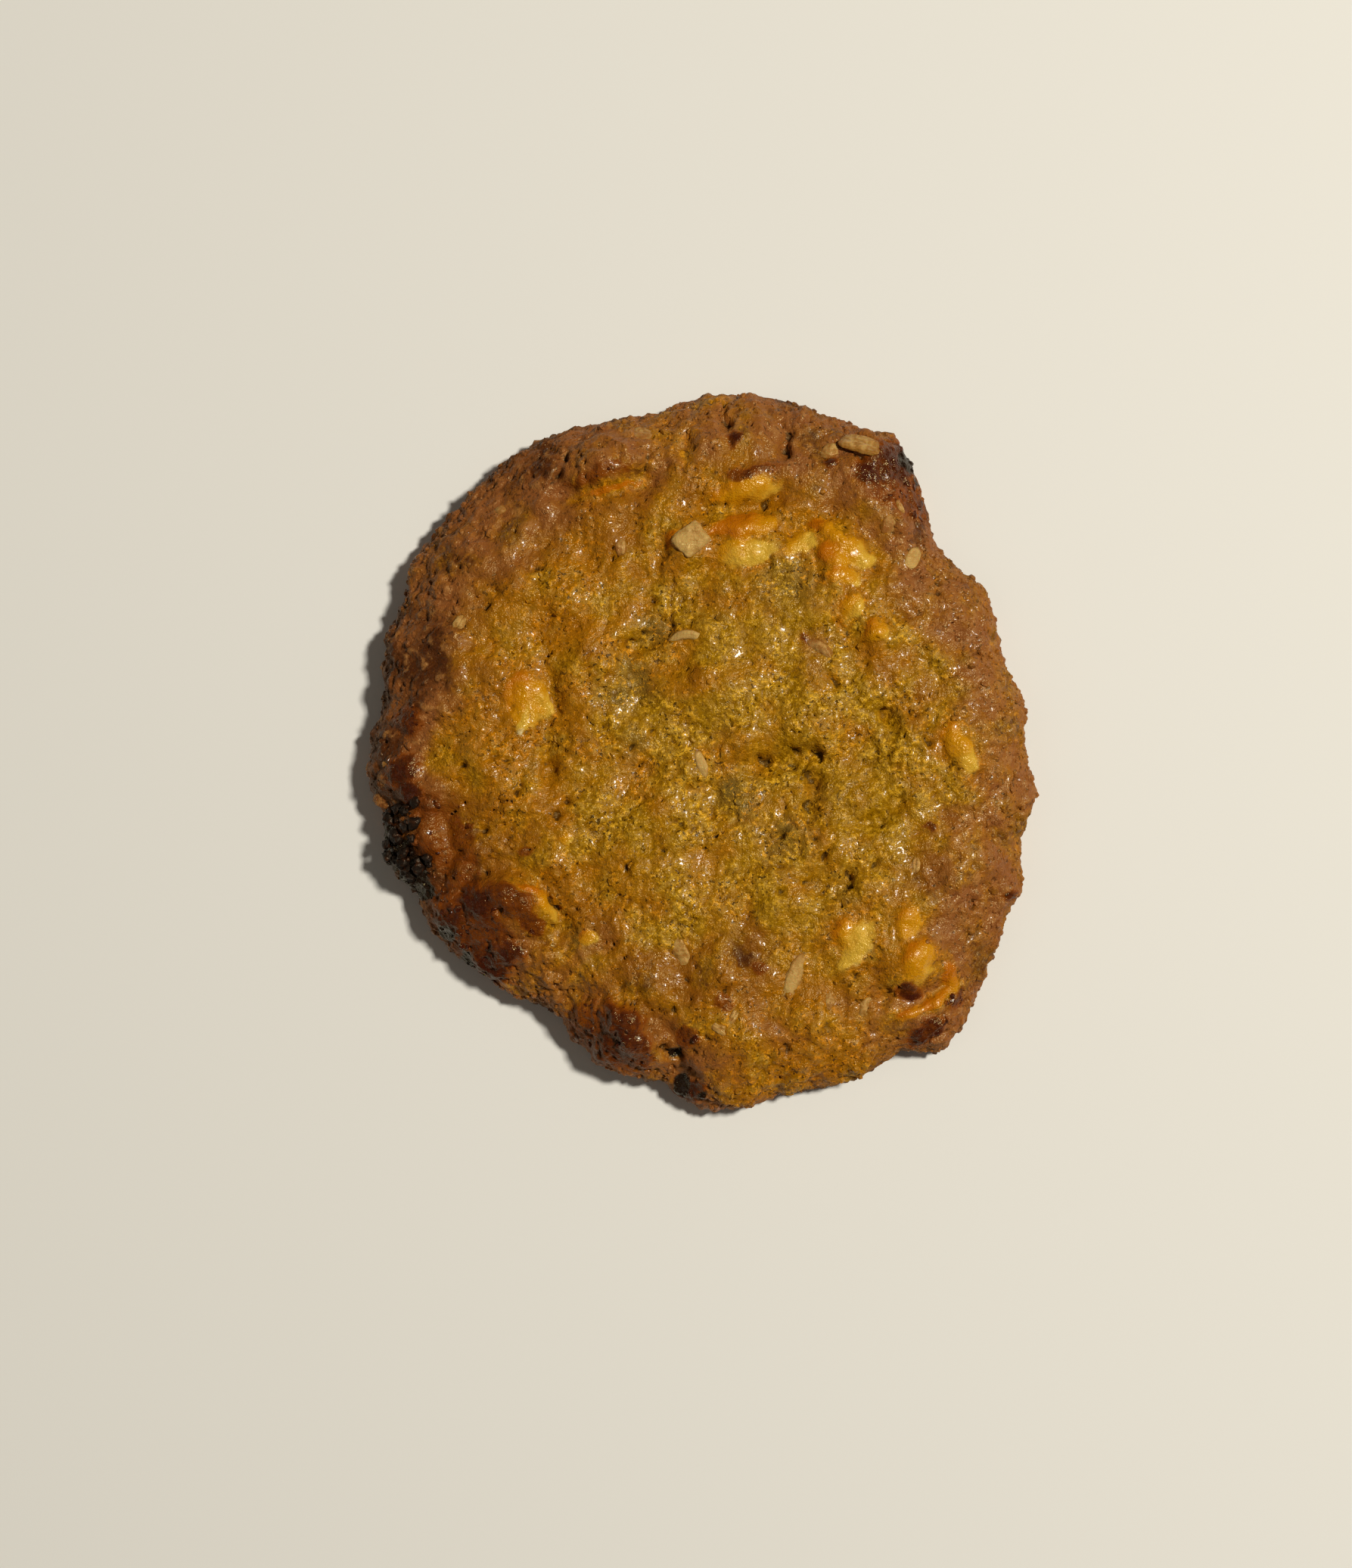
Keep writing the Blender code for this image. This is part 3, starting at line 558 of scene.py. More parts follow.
open_zone = smooth_step(-0.1, 0.35, perlin(place + 130.0, 5.0))
gape = lumps[1] + 0.5 * lumps[2]
pore = smooth_step(0.085, 0.02, gape) * (0.25 + 0.75 * open_zone)
on_top = normal[:, 2] > 0.2
jag = 0.5 * perlin(place + 240.0, 0.8)
for pore_x, pore_y, radius in NAMED_PORES:
    near = on_top & (np.abs(place[:, 0] - pore_x) < 3 * radius)
    near &= np.abs(place[:, 1] - pore_y) < 3 * radius
    gap = np.hypot(warped[near, 0] - pore_x, warped[near, 1] - pore_y)
    pore[near] = np.maximum(pore[near], bell(np.maximum(gap + jag[near], 0.0), 0.8 * radius))
gaps = smooth_step(-0.25, 0.1, perlin(place + 200.0, 1.1)) * on_top
for width, path in CRACKS:
    gap = np.maximum(path_distance(warped[:, 0], warped[:, 1], path) + jag, 0.0)
    pore = np.maximum(pore, bell(gap, width * (0.6 + 0.4 * gaps)) * (0.1 + 0.9 * gaps))
pore = np.clip(pore, 0.0, 1.0)
lift -= PORE_DEPTH * pore


def patches_in(points, table):
    """How far points belong to a table's patches, rise with them, their tone and halo."""
    start = np.array([[1.0], [0.0], [0.0], [1e-6], [0.0]])
    clear, rise, tone, weight, halo = np.ones((5, len(points))) * start
    ruffle = 0.22 * perlin(points + 80.0, 1.3) + 0.15 * perlin(points + 90.0, 3.1)
    for x, y, length, width, turn, height, shade in table:
        away = points[:, :2] - (x, y)
        near = np.flatnonzero(np.hypot(*away.T) < length)
        c, d = math.cos(math.radians(turn)), math.sin(math.radians(turn))
        along, across = away[near] @ (c, d), away[near] @ (-d, c)
        share = np.hypot(2 * along / length, 2 * across / width) + ruffle[near]
        belongs = smooth_step(1.2, 0.55, share)
        clear[near] *= 1.0 - belongs
        rise[near] = np.maximum(rise[near], height * smooth_step(1.2, 0.3, share))
        weight[near] += belongs
        halo[near] = np.maximum(halo[near], smooth_step(1.9, 1.0, share))
        tone[near] += belongs * (shade + away[near] @ (-1.3, 1.0) / length)
    return 1.0 - clear, rise, tone / weight, halo


top_side = normal[:, 2] > 0.0
milk, milk_rise, toast, halo = patches_in(warped, CHOCOLATE)
syrup, syrup_rise, _, _ = patches_in(warped, SYRUP)
darkest = spots(warped, [(x, y, 0.6 * length, shade) for x, y, length, _, _, _, shade in SYRUP])
milk = milk * smooth_step(3.0, 6.0, place[:, 2])
syrup = syrup * smooth_step(2.0, 5.0, place[:, 2]) * (0.35 + 0.65 * darkest)
syrup *= 1.0 - 0.75 * milk
lift += patches_in(warped, LEDGES)[1] * top_side
lift *= (1.0 - 0.6 * milk) * (1.0 - 0.3 * syrup)
lift += milk_rise * top_side + syrup_rise * top_side + 0.2 * milk * perlin(warped + 60.0, 1.5)

BED_DEPTH = 0.12
bed = np.zeros(len(place))
for piece_x, piece_y, length, width, _, turn in FLAKES[:, :6]:
    away = warped[:, :2] * 0.5 + place[:, :2] * 0.5 - (piece_x, piece_y)
    near = np.flatnonzero((np.hypot(*away.T) < length) & top_side)
    c, d = math.cos(math.radians(turn)), math.sin(math.radians(turn))
    share = np.hypot(2 * (away[near] @ (c, d)) / length, 2 * (away[near] @ (-d, c)) / width)
    bed[near] = np.maximum(bed[near], smooth_step(1.0, 0.55, share))
lift = lift * (1.0 - 0.8 * bed) - BED_DEPTH * bed
lift *= 1.0 - 0.85 * low_side
print("lift, mm:", lift.min().round(2), "to", lift.max().round(2))

# %% [markdown]
# ## Where the crust is brown, pale or burnt
#
# Heat browns what is thin or stands out: the rim, the tops of mounds, loose
# flakes. The damp middle stays a mustard yellow, and its dips are pale and
# greenish. Melted chocolate turns the dough round it orange. These are slow
# changes over the whole cookie, so each is worked out once for each point and
# kept with the mesh. The finish only mixes colours by them. A row of spots holds
# a place, a radius and a strength. Toward the edge the brown turns pinkish and
# dull; roast spots are as dull as the edge, and amber spots stay clear of it.

# %% Browning with painted shade and light, paleness, butter and scorching
# A few brown spots darken slopes that face the key light: painted shade beside the browning.
BROWN_AND_SHADE_SPOTS = (
    (-40.0, -4.0, 8.0, 0.7), (-37.0, -14.0, 10.0, 1.0), (-32.0, -21.0, 9.0, 1.05),
    (-26.0, -28.0, 7.0, 0.75), (-12.0, -39.0, 6.0, 0.7), (-14.0, 38.5, 8.0, 0.6),
    (25.0, 38.0, 8.0, 0.7), (27.6, 38.6, 3.6, 1.25), (33.0, -35.0, 7.0, 0.6), (-2.0, -45.0, 5.0, 0.8),
    (5.0, 41.0, 8.0, 0.45), (-0.8, 10.2, 2.0, 0.6), (-36.0, 25.0, 9.0, 0.25),
    (15.7, 13.2, 3.0, 0.4), (8.0, -29.5, 2.5, 0.5), (-23.0, -12.5, 4.0, 0.5),
    (-32.0, -8.0, 7.0, 0.5), (40.0, -14.0, 7.0, 0.4), (-38.0, 12.0, 6.0, 0.55),
    (-20.0, 34.0, 6.0, 0.45), (30.0, 30.0, 7.0, 0.9), (-4.0, -38.0, 6.0, 0.4),
    (-31.0, 18.0, 7.0, 0.6), (31.0, -18.0, 7.0, 0.7), (0.0, -31.0, 8.0, 0.65),
    (-8.0, -30.0, 6.0, 0.75), (41.0, 2.0, 5.0, 0.5), (6.0, -28.0, 5.0, 0.8),
    (-10.0, 28.0, 5.0, 0.55), (-13.0, 38.5, 6.0, 0.6), (-12.0, 6.0, 5.0, 0.35),
)
# Light spots take brown away; some of them lighten slopes and rims turned from the key light: painted
# light.
LESS_BROWN_AND_LIT_SPOTS = (
    (-13.0, 38.5, 6.0, 0.25), (-5.0, 43.0, 7.0, 0.35), (-30.0, 30.0, 7.0, 0.25),
    (-18.0, -30.0, 7.0, 0.5), (-6.0, -43.0, 6.0, 0.3), (6.0, -42.0, 7.0, 0.5),
    (18.0, -42.0, 7.0, 0.65), (11.0, -45.0, 7.0, 0.8), (2.0, 46.0, 6.0, 0.3),
    (-25.0, 31.0, 7.0, 0.15), (-32.5, -0.6, 4.4, 1.0), (-17.0, 12.0, 7.0, 0.6),
    (-38.0, 24.0, 8.0, 0.3),
)
PALE_SPOTS = (
    (-10.0, 8.0, 4.5, 1.0), (12.0, 22.0, 5.0, 0.8), (5.0, -6.5, 4.5, 0.9), (-9.0, 1.0, 3.6, 0.7),
    (18.5, -20.0, 5.0, 0.5), (-15.5, -26.0, 2.5, 0.8), (2.0, 4.0, 4.0, 0.4),
    (11.0, -12.0, 5.0, 0.7), (3.0, 31.0, 3.5, 0.5), (-32.6, -0.8, 4.4, 0.5),
    (-6.0, 15.0, 4.0, 0.7), (-4.0, 27.5, 5.0, 0.5), (17.0, -7.0, 4.0, 0.5),
    (-2.0, -12.0, 4.0, 0.5), (20.0, 26.0, 6.0, 0.3), (14.0, 6.0, 5.0, 0.35),
    (-22.0, -3.0, 3.0, 0.4), (1.5, 17.0, 3.0, 0.6),
)
BUTTER_SPOTS = (
    (-13.0, 11.5, 5.0, 1.0), (9.0, -7.5, 4.0, 0.9), (-26.0, 6.4, 6.0, 0.9), (-11.0, -4.0, 6.0, 0.8),
    (16.0, 29.0, 4.5, 0.7), (5.5, 29.0, 5.0, 0.5), (28.0, -26.0, 6.0, 0.6), (34.0, -32.0, 5.0, 0.6),
    (-22.0, 21.0, 6.0, 0.4), (0.5, -15.0, 6.0, 0.8), (23.0, 14.0, 4.0, 0.7), (34.5, -1.0, 4.0, 0.6),
    (-22.0, -20.0, 6.0, 0.5), (-12.0, 34.0, 7.0, 0.6), (4.0, -20.0, 5.0, 0.7),
    (-3.0, 12.0, 4.0, 0.9), (22.0, -27.0, 4.0, 0.4), (-28.0, -13.0, 6.0, 0.5),
)
MUSTARD_MIDDLE = (8.0, -2.0)
AMBER_SPOTS = ((-33.0, -13.0, 9.0, 0.8), (-25.0, -23.0, 9.0, 0.65), (-8.0, -34.0, 8.0, 0.7))
ROAST_SPOTS = ((-13.0, 38.3, 6.0, 1.0), (27.0, 38.0, 6.0, 1.0), (15.7, 13.2, 2.0, 1.0))
SCORCH_SPOTS = (
    (-42.2, -12.0, 2.0, 1.0), (-40.4, -14.2, 2.2, 1.0), (-38.2, -16.8, 2.0, 1.0),
    (-36.8, -19.0, 1.4, 0.8), (-34.0, -24.6, 1.6, 0.6), (-31.2, -28.6, 1.8, 0.6),
    (-2.4, -44.9, 1.8, 0.6), (0.2, -46.4, 1.2, 0.5), (-3.5, -40.8, 1.1, 0.55),
    (27.8, 38.8, 2.8, 0.5), (29.6, 36.4, 1.5, 0.45), (-41.5, -4.0, 1.6, 0.3),
)


def baking(points):
    """Browning with painted shade and light on some slopes, paleness, butter, scorching and the dull
    edge, at each point.
    """
    angle = np.arctan2(points[:, 1], points[:, 0])
    inward = edge_distance(angle) - np.hypot(points[:, 0], points[:, 1])
    slow = perlin(points + 7.0, 9.0)
    quick = perlin(points + 3.0, 2.6)
    wobble = 3.5 * slow + 1.5 * quick
    rim = 0.78 + 0.2 * np.cos(angle - math.radians(185.0))
    brown = rim * smooth_step(22.0, 4.0, inward + wobble)
    brown = np.maximum(brown, spots(points, BROWN_AND_SHADE_SPOTS) + 0.12 * quick)
    brown += smooth_step(4.5, 1.0, points[:, 2]) * 0.3
    brown -= spots(points, LESS_BROWN_AND_LIT_SPOTS) * smooth_step(2.0, 6.0, points[:, 2])
    brown = np.clip(brown, 0.0, 1.0)
    pale = spots(points, PALE_SPOTS) * (0.75 + 0.5 * quick)
    butter = spots(points, BUTTER_SPOTS) * (0.8 + 0.4 * slow)
    butter = np.maximum(butter, smooth_step(0.05, 0.5, perlin(points + 60.0, 6.0)) * 0.5)
    outer = np.hypot(points[:, 0] - MUSTARD_MIDDLE[0], points[:, 1] - MUSTARD_MIDDLE[1])
    butter = np.maximum(butter, 0.9 * smooth_step(16.0, 36.0, outer))
    pale = np.clip(pale, 0.0, 1.0)
    butter *= 1.0 - 0.8 * pale
    edge = np.maximum(smooth_step(15.0, 6.0, inward + wobble), spots(points, ROAST_SPOTS))
    edge = np.clip(edge - spots(points, AMBER_SPOTS), 0.0, 1.0)
    scorch = spots(points, SCORCH_SPOTS) * smooth_step(0.5, 4.5, points[:, 2])
    scorch = smooth_step(0.22, 0.52, scorch + 0.2 * quick * (scorch > 0.05))
    return {"brown": brown, "pale": pale, "butter": butter, "scorch": scorch, "edge": edge}


baked = baking(place)
baked["butter"] = np.maximum(baked["butter"], 0.9 * halo * top_side)
baked["brown"] *= 1.0 - 0.5 * halo * top_side
place = place + normal * lift[:, None]
place[:, 2] = np.maximum(place[:, 2], 0.0)
write_points(crust, place)
for name, values in baked.items():
    paint(crust, name, values)
# Painted shade: the creases between lumps and the pores make one mask, which darkens the colour there.
crease = smooth_step(0.16, 0.0, lumps[1]) * 0.5 + smooth_step(0.12, 0.0, lumps[0]) * 0.5
paint(crust, "hollow_shade", np.clip(np.maximum(pore, 0.55 * crease), 0.0, 1.0))
paint(crust, "lump", 1.6 * lumps[1] + 0.8 * lumps[2])
paint(crust, "crumbly", np.minimum(crumbly, 1.0))
paint(crust, "level", smooth_step(0.3, 0.8, read_points(crust, "normal")[:, 2]))
paint(crust, "milk", milk)
paint(crust, "toast", toast)
paint(crust, "syrup", syrup)
print({name: float(values.mean().round(2)) for name, values in baked.items()})

# %% [markdown]
# ## A way to write finishes
#
# A finish is a tree of nodes. Written node by node it is long, and its sums are
# hard to read. The class below wraps a socket, so that an ordinary Python sum
# adds the Math nodes. One method adds every other kind of node.


# %% Sockets that can be added and multiplied
class Wire:
    """An output socket; sums of wires and numbers add Math nodes to its tree."""

    def __init__(self, tree, socket=None):
        self.tree = tree
        self.socket = socket

    def node(self, kind, settings=None, sockets=None, output=0):
        """Add a node: settings first, then the values or links of its sockets."""
        made = self.tree.nodes.new(kind)
        for name, value in (settings or {}).items():
            setattr(made, name, value)
        for name, value in (sockets or {}).items():
            socket = made.inputs[name]
            if isinstance(value, Wire):
                self.tree.links.new(value.socket, socket)
            else:
                socket.default_value = value
        return Wire(self.tree, made.outputs[output])

    def math(self, operation, first, second=0.0):
        return self.node("ShaderNodeMath", {"operation": operation}, {0: first, 1: second})

    def __add__(self, other):
        return self.math("ADD", self, other)

    __radd__ = __add__

    def __sub__(self, other):
        return self.math("SUBTRACT", self, other)

    def __rsub__(self, other):
        return self.math("SUBTRACT", other, self)

    def __mul__(self, other):
        return self.math("MULTIPLY", self, other)

    __rmul__ = __mul__

    def step(self, low, high):
        """0 below low, 1 above high, and a smooth rise between."""
        return self.node(
            "ShaderNodeMapRange",
            {"interpolation_type": "SMOOTHSTEP"},
            {"Value": self, "From Min": low, "From Max": high},
        )

    def mix(self, first, second):
        """The first colour where this wire is 0, the second where it is 1."""
        settings = {"data_type": "RGBA", "clamp_factor": True}
        return self.node("ShaderNodeMix", settings, {0: self, 6: first, 7: second}, 2)


def colour(red, green, blue):
    """A colour as seen on a screen, 0 to 255, as the renderer's linear values."""
    values = np.array((red, green, blue)) / 255.0
    linear = np.where(values <= 0.04045, values / 12.92, ((values + 0.055) / 1.055) ** 2.4)
    return (*linear.tolist(), 1.0)


def new_finish(name, constants):
    """A material, its shader and a first wire; constants go straight on the shader."""
    material = bpy.data.materials.new(name)
    material.use_nodes = True
    shader = material.node_tree.nodes["Principled BSDF"]
    for key, value in constants.items():
        shader.inputs[key].default_value = value
    return material, shader, Wire(material.node_tree)


def feed(shader, wires):
    """Link wires to the shader's sockets."""
    for key, wire in wires.items():
        wire.tree.links.new(wire.socket, shader.inputs[key])


def grain_noise(wires, size, detail=2.0, roughness=0.5, shift=(0.0, 0.0, 0.0)):
    """Noise whose bumps are about size millimetres across."""
    place = wires.node("ShaderNodeTexCoord", output="Object")
    moved = wires.node("ShaderNodeVectorMath", {"operation": "ADD"}, {0: place, 1: shift})
    return wires.node(
        "ShaderNodeTexNoise",
        {"noise_dimensions": "3D"},
        {"Vector": moved, "Scale": 1.0 / (size * MM), "Detail": detail, "Roughness": roughness},
    )


def painted(wires, name):
    """A number kept with the mesh's points."""
    settings = {"attribute_name": name, "attribute_type": "GEOMETRY"}
    return wires.node("ShaderNodeAttribute", settings, output="Fac")


print("finish tools ready")

# %% [markdown]
# ## The crust's finish
#
# Baked dough has no single colour. Mustard, orange and tan lie side by side at
# every size, and sugar makes small bright glints. So the finish mixes named
# colours by the numbers kept with the mesh, and noise of several sizes breaks
# them up: patches, clouds, specks and fine grain. The glints are painted into
# the colour as pale specks on the tops of the fine bump, and painted shade
# darkens its low spots, the creases between lumps, pores and tiny pits.
# Chocolate and syrup are mixed in last, but for specks, pores and burnt dough.
# The coat is thin butter and melted sugar, which glints here and there, and a
# fine bump scatters the shine.

# %% Crust colours and shine
MUSTARD = colour(159, 112, 0)
ORANGE = colour(162, 100, 0)
OLIVE = colour(122, 94, 34)
TAN = colour(192, 148, 48)
BROWN = colour(136, 78, 8)
RIM_BROWN = colour(142, 83, 36)
RIM_TAN = colour(172, 116, 58)
DARK_BROWN = colour(82, 38, 10)
# Painted shade for pores, creases and tiny pits.
PORE_SHADE = colour(46, 21, 0)
BURNT = colour(30, 15, 8)
CREAM = colour(220, 174, 56)
MILK_WHITE = colour(236, 212, 150)
HONEY = colour(206, 138, 4)
CARAMEL = colour(186, 100, 0)
# Painted glints of sugar, pale yellow and amber.
SUGAR_GLINT = colour(230, 174, 38)
AMBER_GLINT = colour(214, 132, 6)
SHADE = colour(110, 70, 0)
MAROON = colour(66, 20, 6)
RUST = colour(130, 60, 2)
BUTTER_SHINE = (1.0, 0.82, 0.38, 1.0)


def crust_finish(name):
    """The finish of the dough, also used for its loose crumbs."""
    constants = {
        "Specular IOR Level": 0.38,
        "Specular Tint": BUTTER_SHINE,
        "Subsurface Weight": 0.2,
        "Subsurface Scale": 0.5 * MM,
        "Subsurface Radius": (1.0, 0.7, 0.25),
        "Coat Roughness": 0.18,
    }
    material, shader, wires = new_finish(name, constants)
    brown, pale = painted(wires, "brown"), painted(wires, "pale")
    butter, scorch = painted(wires, "butter"), painted(wires, "scorch")
    hollow_shade, lump = painted(wires, "hollow_shade"), painted(wires, "lump")
    crumbly, toast = painted(wires, "crumbly"), painted(wires, "toast")
    edge, level = painted(wires, "edge"), painted(wires, "level")
    patches = grain_noise(wires, 4.4, 2.0, 0.4)
    cloud = grain_noise(wires, 1.5, 3.0, shift=(0.0, 0.8, 0.0))
    specks = grain_noise(wires, 0.7, 2.0, shift=(0.3, 0.0, 0.0))
    grit = (specks - 0.5) * 0.5
    milk = (painted(wires, "milk") + grit + (cloud - 0.5) * 0.5).step(0.1, 0.8)
    syrup = painted(wires, "syrup") + grit + (cloud - 0.5) * 0.5
    orange = (butter * 0.7 + (patches - 0.5) * 1.9).step(-0.25, 0.75)
    tone = orange.mix(MUSTARD, ORANGE)
    tone = (pale + (patches - 0.5) * 0.8).step(0.2, 0.9).mix(tone, OLIVE)
    grains = (crumbly * 0.6 + 0.3) * lump.step(0.25, 0.9) * specks.step(0.4, 0.6)
    tone = (grains * (1.0 - orange * 0.7)).mix(tone, TAN)
    fine = grain_noise(wires, 0.7, 2.0, 0.85, (0.0, 0.5, 0.0))
    plain = 1.0 - orange * 0.6
    tone = (fine.step(0.48, 0.38) * plain * 0.5).mix(tone, SHADE)
    # Painted glints: pale sugar and amber specks on the tops of the fine bump.
    glint_tone = orange.mix(SUGAR_GLINT, AMBER_GLINT)
    tone = (fine.step(0.54, 0.64) * (0.5 + crumbly * 0.4)).mix(tone, glint_tone)
    browned = edge.mix(BROWN, RIM_BROWN)
    # The brown number also carries painted shade and painted light from some spots.
    tone = (brown + (patches - 0.5) * 1.2 + grit).step(0.1, 0.85).mix(tone, browned)
    tone = (brown - (patches - 0.5) * 1.4 + grit).step(0.65, 1.1).mix(tone, DARK_BROWN)
    crest = lump.step(0.55, 0.95) * cloud.step(0.48, 0.6) * brown * edge
    tone = (crest * 0.8).mix(tone, RIM_TAN)
    chocolate = (toast + (cloud - 0.5) * 0.9).step(-0.3, 0.5).mix(CREAM, HONEY)
    chocolate = (toast + (cloud - 0.5) * 0.6).step(0.5, 1.3).mix(chocolate, CARAMEL)
    chocolate = (toast + (cloud - 0.5) * 0.8).step(-0.45, -1.05).mix(chocolate, MILK_WHITE)
    tone = (milk * 0.85).mix(tone, chocolate)
    tone = (syrup.step(0.05, 0.6) * 0.85).mix(tone, RUST)
    tone = (syrup - (cloud - 0.5) * 1.0).step(0.4, 1.0).mix(tone, MAROON)
    # Dark specks for tiny pits: painted shade.
    pepper = grain_noise(wires, 0.6, 1.0, shift=(0.0, 0.4, 0.0)).step(0.64, 0.68)
    pepper = pepper * (0.45 + crumbly * 0.45) * (1.0 - brown * 0.5)
    tone = (pepper * (1.0 - milk) * 0.9).mix(tone, PORE_SHADE)
    # Painted shade in the creases between lumps, where the lump number is low.
    tone = (lump.step(0.3, 0.05) * crumbly * (1.0 - milk) * 0.55).mix(tone, DARK_BROWN)
    # Painted shade in pores and creases.
    tone = (hollow_shade.step(0.35, 0.85) * (1.0 - milk * 0.6) * 0.8).mix(tone, PORE_SHADE)
    burnt = (scorch + grit * 0.7).step(0.15, 0.65)
    tone = burnt.mix(tone, BURNT)
    sand = grain_noise(wires, 0.3, 1.0, 0.6, (0.2, 0.0, 0.0))
    bumped = wires.node(
        "ShaderNodeBump", None, {"Height": fine + sand * 0.15, "Strength": 1.0, "Distance": 0.00025}
    )
    shine = grain_noise(wires, 1.6, 2.0, 0.6, (0.0, 0.0, 0.7))
    glint = grain_noise(wires, 0.3, 1.0, 0.6, (0.0, 0.0, 0.3)) + (shine - 0.5) * 0.3
    glint = glint.step(0.54, 0.6) * (1.0 - hollow_shade)
    matte = 0.5 - shine.step(0.36, 0.56) * 0.2 + hollow_shade.step(0.3, 0.9) * 0.1
    matte = matte + (1.0 - level) * 0.3
    sticky = syrup.step(0.5, 0.95)
    glaze = shine.step(0.48, 0.6)
    feed(shader, {
        "Base Color": tone,
        "Roughness": matte * (1.0 - milk * 0.25) * (1.0 - sticky * 0.5) * (1.0 - burnt * 0.5),
        "Coat Weight": ((sticky * 0.4 + milk * 0.1) * glaze + glint * 0.38) * level.step(0.4, 1.0),
        "Normal": bumped,
    })
    return material


crust.data.materials.append(crust_finish("baked_crust"))
print("crust finish:", len(crust.data.materials[0].node_tree.nodes), "nodes")

# %% [markdown]
# ## Pieces in the crust
#
# Oat flakes and crumbs each have one simple form, a squashed ball, that is turned,
# sunk and made uneven. Balls are copied in one step with arrays, which is quick
# for twenty pieces or for four thousand, and gives one mesh for each kind.


# %% Many uneven copies of one ball
def ball(segments, rings):
    """Points and faces of a ball 1 mm across."""
    shape = bmesh.new()
    bmesh.ops.create_uvsphere(shape, u_segments=segments, v_segments=rings, radius=0.5)
    points = np.array([vertex.co[:] for vertex in shape.verts])
    faces = [[vertex.index for vertex in face.verts] for face in shape.faces]
    shape.free()
    return points, faces


def crust_normal(x, y, step=0.8):
    """Direction straight out of the crust, for arrays of places."""
    slope_x = (crust_height(x + step, y) - crust_height(x - step, y)) / (2 * step)
    slope_y = (crust_height(x, y + step) - crust_height(x, y - step)) / (2 * step)
    out = np.stack((-slope_x, -slope_y, np.ones(x.shape)), axis=1)
    return out / np.linalg.norm(out, axis=1, keepdims=True)


def seat_frames(spots, out, turn, tip=0.0):
    """The three axes of a piece that lies on each spot, turned and tipped in degrees."""
    axes = np.empty((len(spots), 3, 3))
    turns, tips = np.broadcast_to(turn, len(spots)), np.broadcast_to(tip, len(spots))
    for k in range(len(spots)):
        tilt = Vector((0.0, 0.0, 1.0)).rotation_difference(Vector(out[k])).to_matrix()
        spin = Matrix.Rotation(math.radians(turns[k]), 3, "Z")
        axes[k] = np.array(tilt @ spin @ Matrix.Rotation(math.radians(tips[k]), 3, "X"))
    return axes


def seat_pieces(table, tip=0.0):
    """Spots, axes and sizes for a table of pieces, each sunk to its rise above the dough."""
    x, y, height, rise = table[:, 0], table[:, 1], table[:, 4], table[:, 6]
    out = crust_normal(x, y)
    spots = np.stack((x, y, crust_height(x, y)), axis=1) + out * (rise - height / 2)[:, None]
    return spots, seat_frames(spots, out, table[:, 5], tip), table[:, 2:5]


def copies(name, shape, seats, uneven, smooth=True, corners=2.0):
    """One object of many balls; also gives each point's piece and its place on the ball."""
    unit, unit_faces = shape
    spots, axes, sizes = seats
    count, each = len(spots), len(unit)
    piece = np.repeat(np.arange(count), each)
    unit = np.tile(unit, (count, 1))
    power = np.broadcast_to(corners, count)[piece][:, None]
    unit /= (np.abs(unit * 2) ** power).sum(axis=1, keepdims=True) ** (1 / power)
    grown = unit.copy()
    for amount, wave in uneven:
        grown *= (1.0 + amount * perlin(unit * wave + spots[piece], 1.0))[:, None]
    points = np.einsum("nij,nj->ni", axes[piece], grown * sizes[piece]) + spots[piece]
    faces = [[v + k * each for v in face] for k in range(count) for face in unit_faces]
    return mesh_object(name, points, faces, smooth), piece, unit


print("ball of 12 by 6:", len(ball(12, 6)[1]), "faces")

# %% [markdown]
# ## Rolled oats
#
# A rolled oat is a thin oval with a crease along it and fine streaks, and its
# edges crack when it is rolled. So the ball is flattened, a crease is pressed in,
# and the whole flake is bent a little. One long side stands higher than the other.

# %% Oat flakes
seats = seat_pieces(FLAKES, FLAKES[:, 7])
oats, owner, unit = copies(
    "oat_flakes", ball(40, 16), seats, ((0.16, 2.0), (0.1, 5.0)), corners=FLAKES[:, 9]
)
where = read_points(oats)
out = crust_normal(where[:, 0], where[:, 1])
arch = 4.0 * FLAKES[owner, 10] * unit[:, 0] ** 2
where -= seats[1][owner][:, :, 1] * arch[:, None]
where += 0.12 * drift(where, 0.9)
thin = FLAKES[owner, 4] < 1.5
crease = 0.1 * bell(unit[:, 1], 0.06) * (unit[:, 2] > 0) * (np.abs(FLAKES[owner, 8]) < 0.15) * thin
bend = (0.9 * unit[:, 0] ** 2 - 0.25 * unit[:, 1] * unit[:, 0]) * thin
write_points(oats, where - out * (crease + bend)[:, None])
paint(oats, "toast", FLAKES[owner, 8] + 0.35 * perlin(where + 5.0, 3.0))
verge = np.hypot(unit[:, 0], unit[:, 1]) * 2.0 * (0.2 + 0.8 * thin)
paint(oats, "verge", verge + 0.25 * perlin(where + 15.0, 1.0))
print("flakes:", len(FLAKES), "faces:", len(oats.data.polygons))


